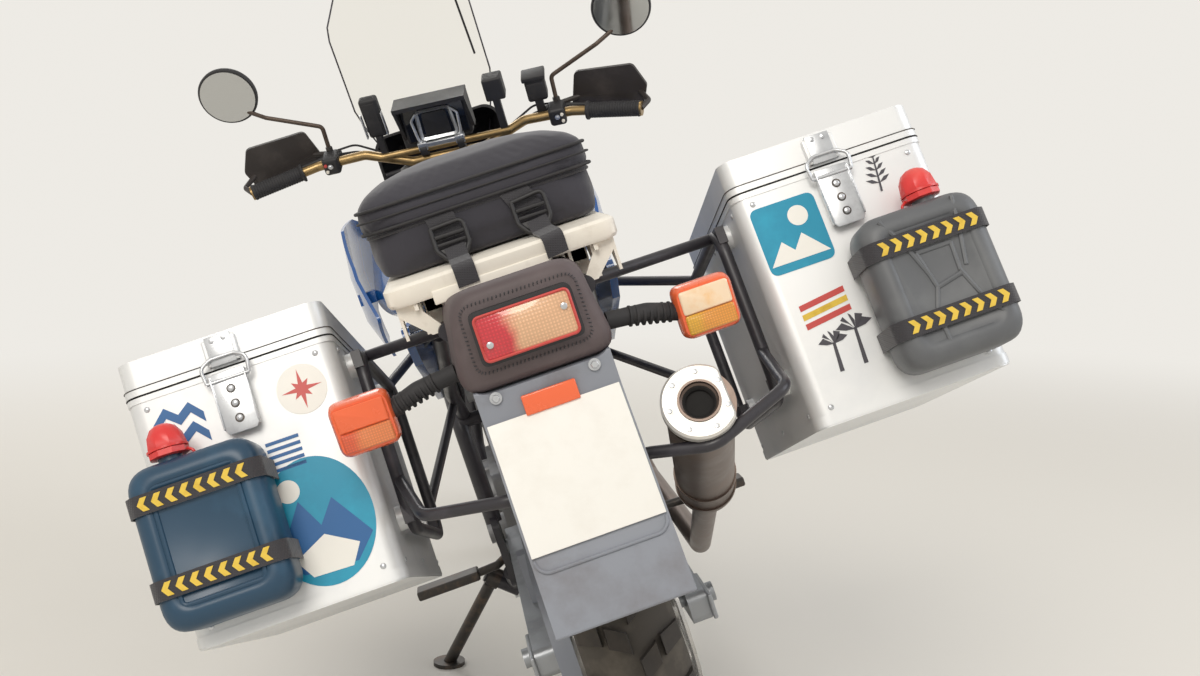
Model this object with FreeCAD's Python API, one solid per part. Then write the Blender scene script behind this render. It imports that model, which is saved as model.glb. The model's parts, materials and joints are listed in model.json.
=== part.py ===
import FreeCAD
import Part

import os
from math import acos, atan2, cos, degrees, hypot, pi, radians, sin, tan

# An adventure motorcycle that leans on its side stand, its steering turned a little to the right.
# Every piece is modelled on an upright machine, in millimetres: X to its right, Y forward and Z up,
# with the origin on the floor under the rear axle. The last section leans it over and stands it down.
# Steered pieces are modelled in the fork's own frame: X right, Y ahead of the steering axis, Z along it.

# Stance
lean_deg = 18.2
steer_deg = -12.6
wheelbase = 1560.0
rake_deg = 27.5
axis_foot_y = wheelbase + 112.0

# Wheels: outer radius to the lugs' tips, width, radius of the tread's curve, height of the section
# over the rim, rim
rear_tyre = {"radius": 325.0, "width": 140.0, "crown": 78.0, "section": 109.0, "rim_width": 92.0}
front_tyre = {"radius": 345.0, "width": 92.0, "crown": 52.0, "section": 78.0, "rim_width": 56.0}
for tyre in (rear_tyre, front_tyre):
    tyre["rim"] = tyre["radius"] - tyre["section"]
rim_depth = 20.0
rim_flange = 6.0
rim_flange_height = 9.0
tyre_seat = 0.3
hub_radius = 34.0
axle_radius = 9.0
axle_play = 0.3
spoke_radius = 2.6
spoke_pairs = 9
disc_thickness = 5.0
front_disc_radius = 141.0
front_disc_x = 62.0
front_hub_half = 40.0
rear_hub_half = 62.0
rear_disc_radius = 122.0
rear_disc_x = 88.0

# Final drive
chain_x = -88.0
chain_width = 18.0
chain_height = 12.0
rear_sprocket_radius = 96.0
front_sprocket_radius = 36.0
front_sprocket_y = 606.0
front_sprocket_z = 345.0
chain_gap = 5.0
guard_wall = 4.0

# Frame and swingarm
frame_tube = 16.0
subframe_tube = 12.0
frame_half = 150.0
head_play = 0.5
head_radius = 31.0
pivot_y = 515.0
pivot_z = 352.0
arm_inner_x = 106.0
arm_thickness = 30.0
arm_height = 58.0
running_gap = 6.0
stand_hole_y = 90.0
stand_hole_radius = 4.0
stand_hole_depth = 22.0

# Foot pegs
peg_inner_x = 207.0
peg_length = 122.0
peg_width = 42.0
peg_y = 502.0
peg_top = 334.0

# Engine
engine_half = 132.0
engine_front = 985.0
engine_rear = 655.0
engine_floor = 264.0
engine_deck = 455.0
head_top = 660.0

# Fork
fork_half = 98.0
fork_lead = 32.0
stanchion_radius = 21.5
slider_radius = 27.0
clamp_thickness = 34.0
low_clamp = 935.0
high_clamp = 1168.0
fork_top = 1205.0

# Silencer
silencer_inlet = (192.0, 20.0, 470.0)
silencer_tip = (168.0, -378.0, 709.0)
silencer_radius = 43.0

# Cowl and instruments
cowl_inner_half = 151.0
dash_front_y = 1262.0

# Handlebar
bar_radius = 11.0
grip_radius = 16.5
grip_length = 124.0
bar_centre = (0.0, 40.0, 1214.0)
bar_hand = (300.0, 32.0, 1258.0)
bar_end = (454.0, -12.0, 1250.0)
brace_radius = 8.0
mirror_radius = 67.0
mirror_centre = (457.0, 92.0, 1446.0)

# Panniers: inner face of each, outer size, wall, lid, and how far the nose hangs down
pannier_width = 278.0
pannier_length = 468.0
pannier_height = 383.0
pannier_wall = 2.0
pannier_corner = 22.0
pannier_rear_y = -217.0
pannier_centre_z = 775.0
pannier_pitch_deg = 18.5
pannier_inner_x = {"left": 241.0, "right": 321.0}
side_sign = {"left": -1.0, "right": 1.0}
lid_depth = 48.0
seam_gap = 0.3
hinge_radius = 5.0
hinge_offset = 7.0
rack_tube = 9.0
rack_gap = 11.0

# Side stand
stand_pivot = (-190.0, 596.0, 277.0)
stand_foot_x = -338.0
stand_foot_y = 672.0
stand_stowed = (-0.10, -0.99, -0.05)
stand_leg_radius = 12.0
stand_knuckle_half = 13.0
stand_foot_radius = 32.0
stand_foot_thickness = 8.0
stand_pin_radius = 8.0


def vec(x, y, z):
    return FreeCAD.Vector(x, y, z)


def box(x0, x1, y0, y1, z0, z1, fillet=0.0):
    body = Part.makeBox(x1 - x0, y1 - y0, z1 - z0, vec(x0, y0, z0))
    if fillet > 0.0:
        body = body.makeFillet(fillet, body.Edges)
    return body


def cylinder(start, end, radius):
    start = vec(*start)
    run = vec(*end) - start
    return Part.makeCylinder(radius, run.Length, start, run)


def ring(start, end, outer, inner):
    return cylinder(start, end, outer).cut(cylinder(start, end, inner))


def join(solids):
    solids = list(solids)
    if len(solids) == 1:
        return solids[0]
    return solids[0].multiFuse(solids[1:])


def loose(solids):
    return Part.makeCompound(list(solids))


def mirrored(solid):
    return solid.mirror(vec(0, 0, 0), vec(1, 0, 0))


def tube(points, radius, bend):
    """A round bar along straight runs that are joined by tangent arcs of one radius."""
    corners = [vec(*p) for p in points]
    edges = []
    here = corners[0]
    for before, corner, after in zip(corners, corners[1:], corners[2:]):
        way_in = (corner - before).normalize()
        way_out = (after - corner).normalize()
        turn = acos(max(-1.0, min(1.0, way_in.dot(way_out))))
        trim = bend * tan(turn / 2)
        arc_start = corner - way_in * trim
        arc_end = corner + way_out * trim
        inward = (way_out - way_in).normalize()
        middle = corner + inward * (bend / cos(turn / 2) - bend)
        edges.append(Part.LineSegment(here, arc_start).toShape())
        edges.append(Part.Arc(arc_start, middle, arc_end).toShape())
        here = arc_end
    edges.append(Part.LineSegment(here, corners[-1]).toShape())
    start_way = corners[1] - corners[0]
    section = Part.Wire([Part.makeCircle(radius, corners[0], start_way)])
    return Part.Wire(edges).makePipeShell([section], True, False)


def mirror_points(points):
    return [(-x, y, z) for x, y, z in points]


def rounded_outline(points, radius):
    """A closed wire through corner points, each corner an arc of one radius."""
    corners = [vec(*p) for p in points]
    count = len(corners)
    arcs = []
    for i, corner in enumerate(corners):
        way_in = (corner - corners[i - 1]).normalize()
        way_out = (corners[(i + 1) % count] - corner).normalize()
        turn = acos(max(-1.0, min(1.0, way_in.dot(way_out))))
        trim = radius * tan(turn / 2)
        inward = (way_out - way_in).normalize()
        middle = corner + inward * (radius / cos(turn / 2) - radius)
        arcs.append((corner - way_in * trim, middle, corner + way_out * trim))
    edges = []
    for i, (start, middle, end) in enumerate(arcs):
        edges.append(Part.Arc(start, middle, end).toShape())
        edges.append(Part.LineSegment(end, arcs[(i + 1) % count][0]).toShape())
    return Part.Wire(edges)


def prism(points, run, radius=0.0):
    """A flat outline pushed along a vector, its corners rounded where a radius is given."""
    if radius > 0.0:
        outline = rounded_outline(points, radius)
    else:
        outline = Part.makePolygon([vec(*p) for p in points] + [vec(*points[0])])
    return Part.Face(outline).extrude(vec(*run))


def side_plate(points_yz, x0, x1, radius=0.0):
    return prism([(x0, y, z) for y, z in points_yz], (x1 - x0, 0, 0), radius)


def across_section(y, half_low, half_high, z_low, z_high, radius):
    """A rounded trapezoid across the machine, for lofts along it."""
    points = [(-half_low, y, z_low), (half_low, y, z_low), (half_high, y, z_high), (-half_high, y, z_high)]
    return rounded_outline(points, radius)


def loft_along(sections, ruled=True):
    return Part.makeLoft([across_section(*row) for row in sections], True, ruled)


def turned_about_x(profile, y, z):
    """A closed outline of (x, radius) points turned about the line along X through y, z."""
    points = [vec(x, y, z + r) for x, r in profile]
    wire = Part.makePolygon(points + [points[0]])
    return Part.Face(wire).revolve(vec(0, y, z), vec(1, 0, 0), 360)


# Frames and the stance

def lean_frame():
    return FreeCAD.Placement(vec(0, 0, 0), FreeCAD.Rotation(vec(0, 1, 0), -lean_deg))


def fork_frame():
    return FreeCAD.Placement(vec(0, axis_foot_y, 0), FreeCAD.Rotation(vec(1, 0, 0), rake_deg))


def steer_frame():
    turned = FreeCAD.Placement(vec(0, 0, 0), FreeCAD.Rotation(vec(0, 0, 1), steer_deg))
    return fork_frame().multiply(turned)


def tyre_drop(tyre, wheel_axis_z):
    """How far a tyre reaches below its axle when its axle's own direction rises by wheel_axis_z."""
    reach = abs(wheel_axis_z)
    upright = (1.0 - reach * reach) ** 0.5
    shoulder = tyre["width"] / 2
    drop = 0.0
    for step in range(61):
        x = shoulder * step / 60
        drop = max(drop, crown_radius_at(tyre, x) * upright + x * reach)
    return drop


def crown_radius_at(tyre, x):
    crown = tyre["crown"]
    return tyre["radius"] - crown + (crown * crown - x * x) ** 0.5


def rear_axle_height():
    """Height of the rear axle over the upright machine's floor line, so that the tyre meets the floor."""
    lean = lean_frame().Rotation
    drop = tyre_drop(rear_tyre, lean.multVec(vec(1, 0, 0)).z)
    return drop / cos(radians(lean_deg))


def front_axle_point():
    """The front axle's middle in the fork's own frame, so that the steered tyre meets the floor."""
    lean = lean_frame()
    steered = steer_frame()
    axle_way = lean.Rotation.multVec(steered.Rotation.multVec(vec(1, 0, 0)))
    drop = tyre_drop(front_tyre, axle_way.z)

    def local(height):
        return fork_frame().inverse().multVec(vec(0, wheelbase, height))

    def world_height(height):
        return lean.multVec(steered.multVec(local(height))).z

    low = world_height(300.0)
    high = world_height(400.0)
    return local(300.0 + 100.0 * (drop - low) / (high - low))


rear_axle_z = rear_axle_height()
front_axle = front_axle_point()


# Wheels

def tyre_solid(tyre, y, z):
    """The tyre out to the tips of its lugs, with a curved tread and beads seated in the rim."""
    half = tyre["width"] / 2
    bead_half = tyre["rim_width"] / 2 - rim_flange - tyre_seat
    bead = tyre["rim"] + tyre_seat
    flange = tyre["rim"] + rim_flange_height + tyre_seat
    shoulder = crown_radius_at(tyre, half)
    wall = (bead + shoulder) / 2 + 8.0
    crown_top = vec(0, y, z + tyre["radius"])
    right = vec(half, y, z + shoulder)
    left = vec(-half, y, z + shoulder)
    edges = [Part.Arc(left, crown_top, right).toShape()]
    side = [(half, shoulder), (half - 3.0, wall), (tyre["rim_width"] / 2 + 1.0, flange + 2.0),
            (bead_half, flange), (bead_half, bead)]
    outline = side + [(-x, r) for x, r in reversed(side)]
    for (x0, r0), (x1, r1) in zip(outline, outline[1:]):
        edges.append(Part.LineSegment(vec(x0, y, z + r0), vec(x1, y, z + r1)).toShape())
    return Part.Face(Part.Wire(edges)).revolve(vec(0, y, z), vec(1, 0, 0), 360)


def spoke_set(hub_half, rim_radius, y, z):
    """Crossed spokes from the hub's two flanges to the rim, in pairs."""
    spokes = []
    step = 2 * pi / spoke_pairs
    for i in range(spoke_pairs):
        for side, way in ((-1, -1), (-1, 1), (1, -1), (1, 1)):
            start = i * step + (step / 4 if side > 0 else 0.0)
            end = start + way * 0.62
            inner = hub_radius + 10.0
            spokes.append(cylinder(
                (side * hub_half, y + inner * sin(start), z + inner * cos(start)),
                (side * 6.0, y + rim_radius * sin(end), z + rim_radius * cos(end)), spoke_radius))
    return spokes


def wheel_core(tyre, hub_half, y, z):
    """Rim, hub with two flanges, and spokes."""
    half = tyre["rim_width"] / 2
    outer = tyre["rim"]
    lip = outer + rim_flange_height
    side = [(half - rim_flange, outer), (half - rim_flange, lip), (half, lip), (half, outer - 9),
            (half * 0.5, outer - rim_depth)]
    rim = turned_about_x(side + [(-x, r) for x, r in reversed(side)], y, z)
    hub = ring((-hub_half, y, z), (hub_half, y, z), hub_radius, axle_radius + axle_play)
    bore = axle_radius + axle_play
    flanges = [ring((s * hub_half - 5, y, z), (s * hub_half + 5, y, z), hub_radius + 16, bore)
               for s in (-1, 1)]
    return [rim, hub] + flanges + spoke_set(hub_half, outer - rim_depth + 2, y, z)


def brake_disc(x, radius, y, z, carrier):
    """A disc ring with arms to the hub's flange."""
    half = disc_thickness / 2
    blade = ring((x - half, y, z), (x + half, y, z), radius, radius - 34)
    arms = []
    for i in range(6):
        angle = i * pi / 3
        arm = box(x - half, x + half, -9, 9, hub_radius - 4, radius - 30)
        arm.rotate(vec(0, 0, 0), vec(1, 0, 0), degrees(angle))
        arm.translate(vec(0, y, z))
        arms.append(arm)
    boss = ring((carrier, y, z), (x, y, z), hub_radius, axle_radius + axle_play)
    plate = ring((x - half, y, z), (x + half, y, z), hub_radius, axle_radius + axle_play)
    return [blade, boss, plate] + arms


def front_rim():
    y, z = front_axle.y, front_axle.z
    hub_half = front_hub_half
    pieces = wheel_core(front_tyre, hub_half, y, z)
    for side in (-1, 1):
        pieces += brake_disc(side * front_disc_x, front_disc_radius, y, z, side * hub_half)
    return join(pieces)


def rear_rim():
    y, z = 0.0, rear_axle_z
    hub_half = rear_hub_half
    pieces = wheel_core(rear_tyre, hub_half, y, z)
    pieces += brake_disc(rear_disc_x, rear_disc_radius, y, z, hub_half)
    pieces.append(ring((chain_x - 4, y, z), (chain_x + 4, y, z), rear_sprocket_radius, 60))
    pieces.append(ring((chain_x - 4, y, z), (-hub_half, y, z), 62, axle_radius + axle_play))
    return join(pieces)


def front_tyre_solid():
    return tyre_solid(front_tyre, front_axle.y, front_axle.z)


def rear_tyre_solid():
    return tyre_solid(rear_tyre, 0.0, rear_axle_z)


# Frame, engine and drive

def head_point(s):
    """A point on the steering axis, s along it from the floor."""
    point = fork_frame().multVec(vec(0, 0, s))
    return (point.x, point.y, point.z)


def frame():
    head_bottom = head_point(low_clamp + clamp_thickness + head_play)
    head_top_point = head_point(high_clamp - clamp_thickness - head_play)
    f = frame_half
    upper = [(0, 1188, 960), (112, 1060, 905), (f, 760, 745), (f, 560, 600), (f, pivot_y + 12, pivot_z + 50)]
    lower = [(0, 1201, 905), (44, 1112, 836), (96, 1104, 700), (f, 1062, 440), (f, 1020, 240), (f, 610, 240),
             (f, pivot_y + 16, pivot_z - 56)]
    solids = [cylinder(head_bottom, head_top_point, head_radius)]
    for points in (upper, lower):
        solids.append(tube(points, frame_tube, 60))
        solids.append(tube(mirror_points(points), frame_tube, 60))
    plate = [(pivot_y - 34, pivot_z - 70), (pivot_y + 40, pivot_z - 90), (pivot_y + 46, pivot_z + 70),
             (pivot_y - 28, pivot_z + 60)]
    inner = arm_inner_x + arm_thickness + running_gap
    for side in (-1, 1):
        solids.append(side_plate(plate, side * inner, side * (inner + 14), 20))
        for y in (740, 920):
            middle = side * (f - 24)
            solids.append(box(middle - 22, middle + 22, y, y + 40, 236, engine_floor))
    solids.append(cylinder((-f, 560, 600), (f, 560, 600), 13))
    return join(solids + front_stay())


def front_stay():
    """The bracket from the steering head that carries the cowl and the instruments."""
    n0, n1, s0, s1 = head_radius - 6, 132.0, 1030.0, 1086.0
    arm = box(-20, 20, n0, n1, s0, s1)
    arm.Placement = fork_frame()
    foot = fork_frame().multVec(vec(0, n1, (s0 + s1) / 2))
    post = box(-16, 16, foot.y - 14, foot.y + 6, foot.z - 30, 1166)
    bar = cylinder((-cowl_inner_half, foot.y, 1092), (cowl_inner_half, foot.y, 1092), 8)
    shelf = box(-16, 16, dash_front_y, foot.y, 1132, 1166)
    return [arm, post, bar, shelf]


def rear_subframe():
    upper = [(frame_half - 3, 742, 736), (130, 380, 806), (112, 60, 852), (92, -262, 872)]
    lower = [(frame_half - 12, 572, 610), (138, 330, 700), (112, -30, 846)]
    solids = []
    for points in (upper, lower):
        solids.append(tube(points, subframe_tube, 90))
        solids.append(tube(mirror_points(points), subframe_tube, 90))
    for y, half, z in ((330, 124, 813), (-60, 106, 860), (-240, 94, 870)):
        solids.append(cylinder((-half, y, z), (half, y, z), 10))
    return join(solids)


def engine():
    h = engine_half
    case = side_plate([(engine_rear, engine_floor), (engine_front - 60, engine_floor),
                       (engine_front, engine_floor + 60), (engine_front - 10, engine_deck),
                       (engine_rear + 10, engine_deck)], -h, h, 24)
    gearbox = box(-70, 70, 560, engine_rear + 40, 290, 430, 14)
    barrels = side_plate([(770, engine_deck - 10), (960, engine_deck - 10), (985, head_top - 60),
                          (795, head_top - 60)], -118, 118, 8)
    head = side_plate([(780, head_top - 70), (992, head_top - 70), (1000, head_top - 16),
                       (970, head_top), (815, head_top), (788, head_top - 20)], -128, 128, 10)
    cam_cover = box(-112, 112, 824, 962, head_top - 12, head_top + 24, 9)
    shaft = cylinder((-60, front_sprocket_y, front_sprocket_z),
                     (chain_x - 12, front_sprocket_y, front_sprocket_z), 14)
    sprocket = cylinder((chain_x + 4, front_sprocket_y, front_sprocket_z),
                        (chain_x - 4, front_sprocket_y, front_sprocket_z), front_sprocket_radius)
    return join([case, gearbox, barrels, head, cam_cover, shaft, sprocket] + engine_covers() + intake())


def engine_covers():
    """The round side covers, each with a raised cap and with the bosses of its screws."""
    h = engine_half
    covers = []
    # side, y, z, radius, depth, cap radius, screws
    for side, y, z, radius, depth, cap, screws in (
            (1, 760, 372, 92, 42, 66, 8), (-1, 880, 358, 80, 36, 52, 7), (1, 908, 330, 36, 26, 20, 4),
            (-1, 716, 330, 34, 34, 22, 0)):
        face = side * (h + depth)
        covers.append(cylinder((side * (h - 5), y, z), (face, y, z), radius))
        covers.append(cylinder((face - side * 2, y, z), (face + side * 9, y, z), cap))
        for i in range(screws):
            angle = 2 * pi * (i + 0.5) / screws
            at_y = y + (radius - 1) * sin(angle)
            at_z = z + (radius - 1) * cos(angle)
            covers.append(cylinder((side * (h - 5), at_y, at_z), (face - side * 4, at_y, at_z), 7.5))
    return covers


def intake():
    """Two carburettors behind the head, with the air box that feeds them."""
    pieces = [box(-96, 96, 602, 700, 584, 706, 14)]
    for x in (-58, 58):
        pieces.append(cylinder((x, 690, 626), (x, 800, 606), 27))
        pieces.append(box(x - 30, x + 30, 716, 776, 562, 640, 6))
        pieces.append(cylinder((x, 746, 632), (x, 746, 668), 22))
    return pieces


def radiator():
    """A core between two side tanks, and the hoses to the water pump and from the head."""
    core = box(-150, 150, -14, 14, -120, 120, 4)
    core = join([core, box(-168, -146, -20, 20, -112, 112, 5), box(146, 168, -20, 20, -112, 112, 5)])
    core.rotate(vec(0, 0, 0), vec(1, 0, 0), -9.2)
    core.translate(vec(0, 1116, 590))
    low_hose = tube([(157, 1098, 505), (196, 1090, 470), (196, 1000, 388), (138, 908, 338)], 13, 30)
    high_hose = tube([(-157, 1124, 655), (-192, 1112, 640), (-192, 1020, 622), (-110, 978, 622)], 12, 26)
    return join([core, low_hose, high_hose])


def skid_plate():
    outline = [(640, 216), (1010, 216), (1046, 254), (1066, 300), (1075, 297), (1056, 248), (1016, 206),
               (640, 206)]
    ribs = [box(s * frame_half - 12, s * frame_half + 12, y, y + 24, 214, 232)
            for s in (-1, 1) for y in (670, 960)]
    return join([side_plate(outline, -frame_half - 14, frame_half + 14)] + ribs)


def chain_loop(radius_rear, radius_front):
    """The outline of a belt round the two sprockets, as a face in the plane x = 0."""
    ry, rz = 0.0, rear_axle_z
    fy, fz = front_sprocket_y, front_sprocket_z
    span = hypot(fy - ry, fz - rz)
    slope = atan2(fz - rz, fy - ry)
    spread = acos((radius_rear - radius_front) / span)

    def at(cy, cz, radius, angle):
        return vec(0, cy + radius * cos(angle), cz + radius * sin(angle))

    rear_top = at(ry, rz, radius_rear, slope + spread)
    rear_low = at(ry, rz, radius_rear, slope - spread)
    front_top = at(fy, fz, radius_front, slope + spread)
    front_low = at(fy, fz, radius_front, slope - spread)
    edges = [Part.LineSegment(rear_top, front_top).toShape(),
             Part.Arc(front_top, at(fy, fz, radius_front, slope), front_low).toShape(),
             Part.LineSegment(front_low, rear_low).toShape(),
             Part.Arc(rear_low, at(ry, rz, radius_rear, slope + pi), rear_top).toShape()]
    return Part.Face(Part.Wire(edges))


def chain():
    rear = rear_sprocket_radius + chain_gap
    front = front_sprocket_radius
    outer = chain_loop(rear + chain_height, front + chain_height)
    inner = chain_loop(rear, front + 0.3)
    band = outer.extrude(vec(chain_width, 0, 0)).cut(inner.extrude(vec(chain_width, 0, 0)))
    band.translate(vec(chain_x - chain_width / 2, 0, 0))
    return band


def arm_outline(grow=0.0):
    """The side view of one swingarm leg, from its pivot to behind the rear axle."""
    h = arm_height / 2 + grow
    z = rear_axle_z
    return [(pivot_y + 30, pivot_z - h), (pivot_y + 30, pivot_z + h), (60, z + h), (-52, z + h * 0.8),
            (-52, z - h * 0.8), (60, z - h)]


def swingarm():
    inner, outer = arm_inner_x, arm_inner_x + arm_thickness
    z = rear_axle_z
    leg = side_plate(arm_outline(), inner, outer, 14)
    solids = [leg, mirrored(leg)]
    solids.append(box(-inner - 4, inner + 4, 395, 440, pivot_z - 32, pivot_z + 20, 6))
    solids.append(cylinder((-inner - 4, pivot_y, pivot_z), (inner + 4, pivot_y, pivot_z), 24))
    for side in (-1, 1):
        face = side * outer
        solids.append(cylinder((face - side * 2, pivot_y, pivot_z),
                               (face + side * running_gap, pivot_y, pivot_z), 14))
        low, high = sorted((face, face + side * 7))
        solids.append(box(low, high, -62, 44, z - 20, z + 20, 2.5))
        solids.append(cylinder((face, 0, z), (face + side * 18, 0, z), 15))
    solids.append(cylinder((-inner - 6, 0, z), (inner + 6, 0, z), axle_radius))
    caliper = box(rear_disc_x - 20, rear_disc_x + 24, -44, 44, -22, 26, 8)
    caliper.translate(vec(0, 50, z + rear_disc_radius - 4))
    slot = box(rear_disc_x - disc_thickness / 2 - 5, rear_disc_x + disc_thickness / 2 + 5, -60, 160,
               z, z + rear_disc_radius + 6)
    bracket = box(rear_disc_x + 8, inner + 8, 24, 80, z + 14, z + rear_disc_radius - 10)
    solids.append(join([caliper.cut(slot), bracket]))
    y, floor = stand_hole_y, outer - stand_hole_depth
    holes = [cylinder((s * (outer + 1), y, z), (s * floor, y, z), stand_hole_radius) for s in (-1, 1)]
    return join(solids).cut(loose(holes))


def shock_absorber():
    top = (0, 560, 600)
    low = (0, 432, 366)
    body = cylinder(low, top, 16)
    spring = cylinder((0, 460, 417), (0, 540, 563), 38)
    eye = cylinder((-22, 560, 600), (22, 560, 600), 22)
    return join([body, spring, eye])


def chain_guard():
    """A strip over the upper run that curls down behind the sprocket, with a tab on the swingarm."""
    near = rear_sprocket_radius + chain_gap + chain_height + 9
    inner_x, outer_x = chain_x + 12, chain_x - 16
    z = rear_axle_z
    curl = ring((outer_x, 0, z), (inner_x, 0, z), near + guard_wall, near)
    keep = prism([(outer_x - 1, 2, z + near + 40), (outer_x - 1, 2, z), (outer_x - 1, -near - 40, z - 40),
                  (outer_x - 1, -near - 40, z + near + 40)], (inner_x - outer_x + 2, 0, 0))
    drop = front_sprocket_z - z - rear_sprocket_radius + front_sprocket_radius
    rise = drop * 0.46
    strip = side_plate([(0, z + near), (340, z + near + rise), (340, z + near + rise + guard_wall),
                        (0, z + near + guard_wall)], outer_x, inner_x)
    tab_top = z + near + rise * 145 / 340 + guard_wall / 2
    tab = box(-arm_inner_x - 12, outer_x + 3, 130, 160, z + 20, tab_top)
    return join([curl.common(keep), strip, tab])


def exhaust():
    """Two headers from the cylinder head, joined ahead of the engine, and one pipe along the right side."""
    right = [(60, 985, 612), (60, 1047, 592), (72, 1047, 450), (112, 1098, 390), (200, 1086, 306),
             (206, 1000, 254), (206, 440, 254), silencer_inlet]
    left = [(-60, 985, 612), (-60, 1047, 592), (-52, 1047, 460), (112, 1098, 390)]
    return join([tube(right, 20, 38), tube(left, 20, 34)])


def silencer():
    """The can beside the right pannier, a flat cap with a stepped bore at its end."""
    inlet = vec(*silencer_inlet)
    way = (vec(*silencer_tip) - inlet).normalize()
    length = (vec(*silencer_tip) - inlet).Length
    cone = Part.makeCone(24, silencer_radius, 60, inlet, way)
    can = Part.makeCylinder(silencer_radius, length - 60 - 16, inlet + way * 60, way)
    cap = Part.makeCylinder(silencer_radius + 2, 16, inlet + way * (length - 16), way)
    bore = Part.makeCylinder(19, 60, inlet + way * (length - 40), way)
    return join([cone, can, cap]).cut(bore)


# Bodywork

def fuel_tank():
    # y, half width low, half width high, z low, z high, corner radius
    body = loft_along([(655, 110, 92, 838, 930, 22), (700, 160, 124, 826, 975, 32),
                       (760, 205, 150, 812, 1018, 42), (840, 240, 176, 796, 1052, 52),
                       (920, 262, 190, 790, 1066, 58), (1012, 268, 180, 800, 1060, 58)])
    tunnel = side_plate([(600, 600), (600, 674), (1040, 909), (1040, 600)], -172, 172)
    return body.cut(tunnel)


def tank_shrouds():
    """Side fairings that bulge both ways: a turned shell, cut to its outline in side view."""
    outline = [(858, 806), (1004, 706), (1130, 740), (1236, 840), (1286, 925), (1280, 1000), (1190, 1022),
               (1040, 1006), (930, 925)]
    # z, radius of the outer face about an upright axis on the machine's far side
    rows = [(690, 556), (800, 590), (900, 593), (1040, 574)]
    wall = 7.0
    axis_x, axis_y = -300.0, 1064.0
    profile = [(r, z) for z, r in rows] + [(r - wall, z) for z, r in reversed(rows)]
    points = [vec(axis_x + r, axis_y, z) for r, z in profile]
    section = Part.Face(Part.makePolygon(points + [points[0]]))
    shell = section.revolve(vec(axis_x, axis_y, 0), vec(0, 0, 1), 360)
    shroud = shell.common(side_plate(outline, 150, 330, 12))
    web = box(200, 284, 950, 985, 840, 866)
    piece = join([shroud, web])
    return [piece, mirrored(piece)]


def seat():
    # y, half width low, half width high, z low, z high, corner radius
    rider = loft_along([(654.7, 92, 80, 838, 882, 16), (560, 120, 108, 838, 884, 18),
                        (380, 150, 140, 842, 888, 18)])
    pillion = loft_along([(382, 140, 130, 850, 905, 18), (330, 140, 130, 862, 936, 20),
                          (110, 122, 112, 872, 940, 20)])
    return join([rider, pillion])


def side_panels():
    outline = [(640, 690), (640, 820), (330, 842), (-30, 868), (60, 800), (360, 690)]
    panel = side_plate(outline, 152, 164, 14)
    boss = cylinder((120, 372, 806), (156, 372, 806), 9)
    piece = join([panel, boss])
    return [piece, mirrored(piece)]


def front_cowl():
    # y, half width low, half width high, z low, z high, corner radius
    shell = loft_along([(1300, 160, 158, 955, 1185, 40), (1352, 160, 153, 943, 1186, 44),
                        (1400, 155, 141, 939, 1175, 47), (1440, 142, 125, 948, 1150, 45),
                        (1470, 124, 107, 968, 1108, 36)])
    core = loft_along([(1290, 154, 152, 961, 1179, 35), (1350, 154, 147, 949, 1180, 38),
                       (1397, 149, 135, 945, 1169, 41), (1435, 136, 119, 955, 1143, 39),
                       (1463, 117, 100, 975, 1101, 30)])
    return shell.cut(core)


def headlight():
    return loose([cylinder((s * 60, 1420, 1038), (s * 60, 1482, 1038), 50) for s in (-1, 1)])


def windscreen():
    """A clear sheet, curved across and leaning back, with rounded corners."""
    curve, thickness = 310.0, 4.0
    foot_y, foot_z = 1430.0, 1118.0
    centre = vec(0, foot_y - curve, foot_z)
    band = Part.makeCylinder(curve, 1.0, centre).cut(Part.makeCylinder(curve - thickness, 1.0, centre))
    front = Part.makeBox(2 * curve, curve, 10.0, vec(-curve, foot_y - curve + 150, foot_z))
    level = [f for f in band.common(front).Faces if abs(f.normalAt(0, 0).z) > 0.9]
    foot = min(level, key=lambda f: f.CenterOfMass.z)
    sheet = foot.extrude(vec(0, -150, 460))
    outline = prism([(-128, 1000, 1118), (128, 1000, 1118), (174, 1000, 1250), (172, 1000, 1450),
                     (116, 1000, 1545), (-116, 1000, 1545), (-172, 1000, 1450), (-174, 1000, 1250)],
                    (0, 600, 0), 60)
    return sheet.common(outline)


def instrument_dash():
    return box(-83, 81, dash_front_y - 24, dash_front_y - tyre_seat, 1125, 1232, 6)


def tail_housing():
    # y, half width low, half width high, z low, z high, corner radius
    return loft_along([(-60, 92, 92, 880, 900, 8), (-250, 104, 90, 806, 914, 26),
                       (-372, 100, 78, 798, 926, 30)])


def tail_lamp():
    return box(-58, 58, -389, -368, 838, 892, 8)


def indicators():
    lamps = []
    for side in (-1, 1):
        x = side * 224
        lens = box(x - 39, x + 39, -316, -272, 768, 838, 14)
        stalk = tube([(side * 96, -300, 826), (side * 150, -296, 820), (side * 192, -292, 806)], 9, 40)
        lamps.append(join([lens, stalk]))
    return loose(lamps)


def plate_carrier():
    """The rear mudguard's tail: a sheet with turned sides that carries the plate."""
    half, wall = 86.0, 3.0
    sheet = [(-368, 804), (-372, 760), (-436, 600), (-470, 520), (-460, 516), (-424, 596), (-356, 756),
             (-340, 804)]
    side = [(-345, 804), (-361, 757), (-429, 597), (-463, 519), (-446, 513), (-396, 596), (-330, 756),
            (-312, 804)]
    walls = [side_plate(side, s * half, s * (half - wall)) for s in (-1, 1)]
    return join([side_plate(sheet, -half, half, 3)] + walls)


def number_plate():
    plate = box(-83, 83, -2, 2, -82, 82, 0)
    plate.rotate(vec(0, 0, 0), vec(1, 0, 0), -21.8)
    plate.translate(vec(0, -404.3, 686.0))
    return plate


def rear_carrier():
    deck = box(-155, 155, -255, 60, 918, 945, 8)
    feet = [box(s * 100 - 12, s * 100 + 12, y, y + 40, 866, 922) for s in (-1, 1) for y in (-200, 0)]
    return join([deck] + feet)


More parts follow.
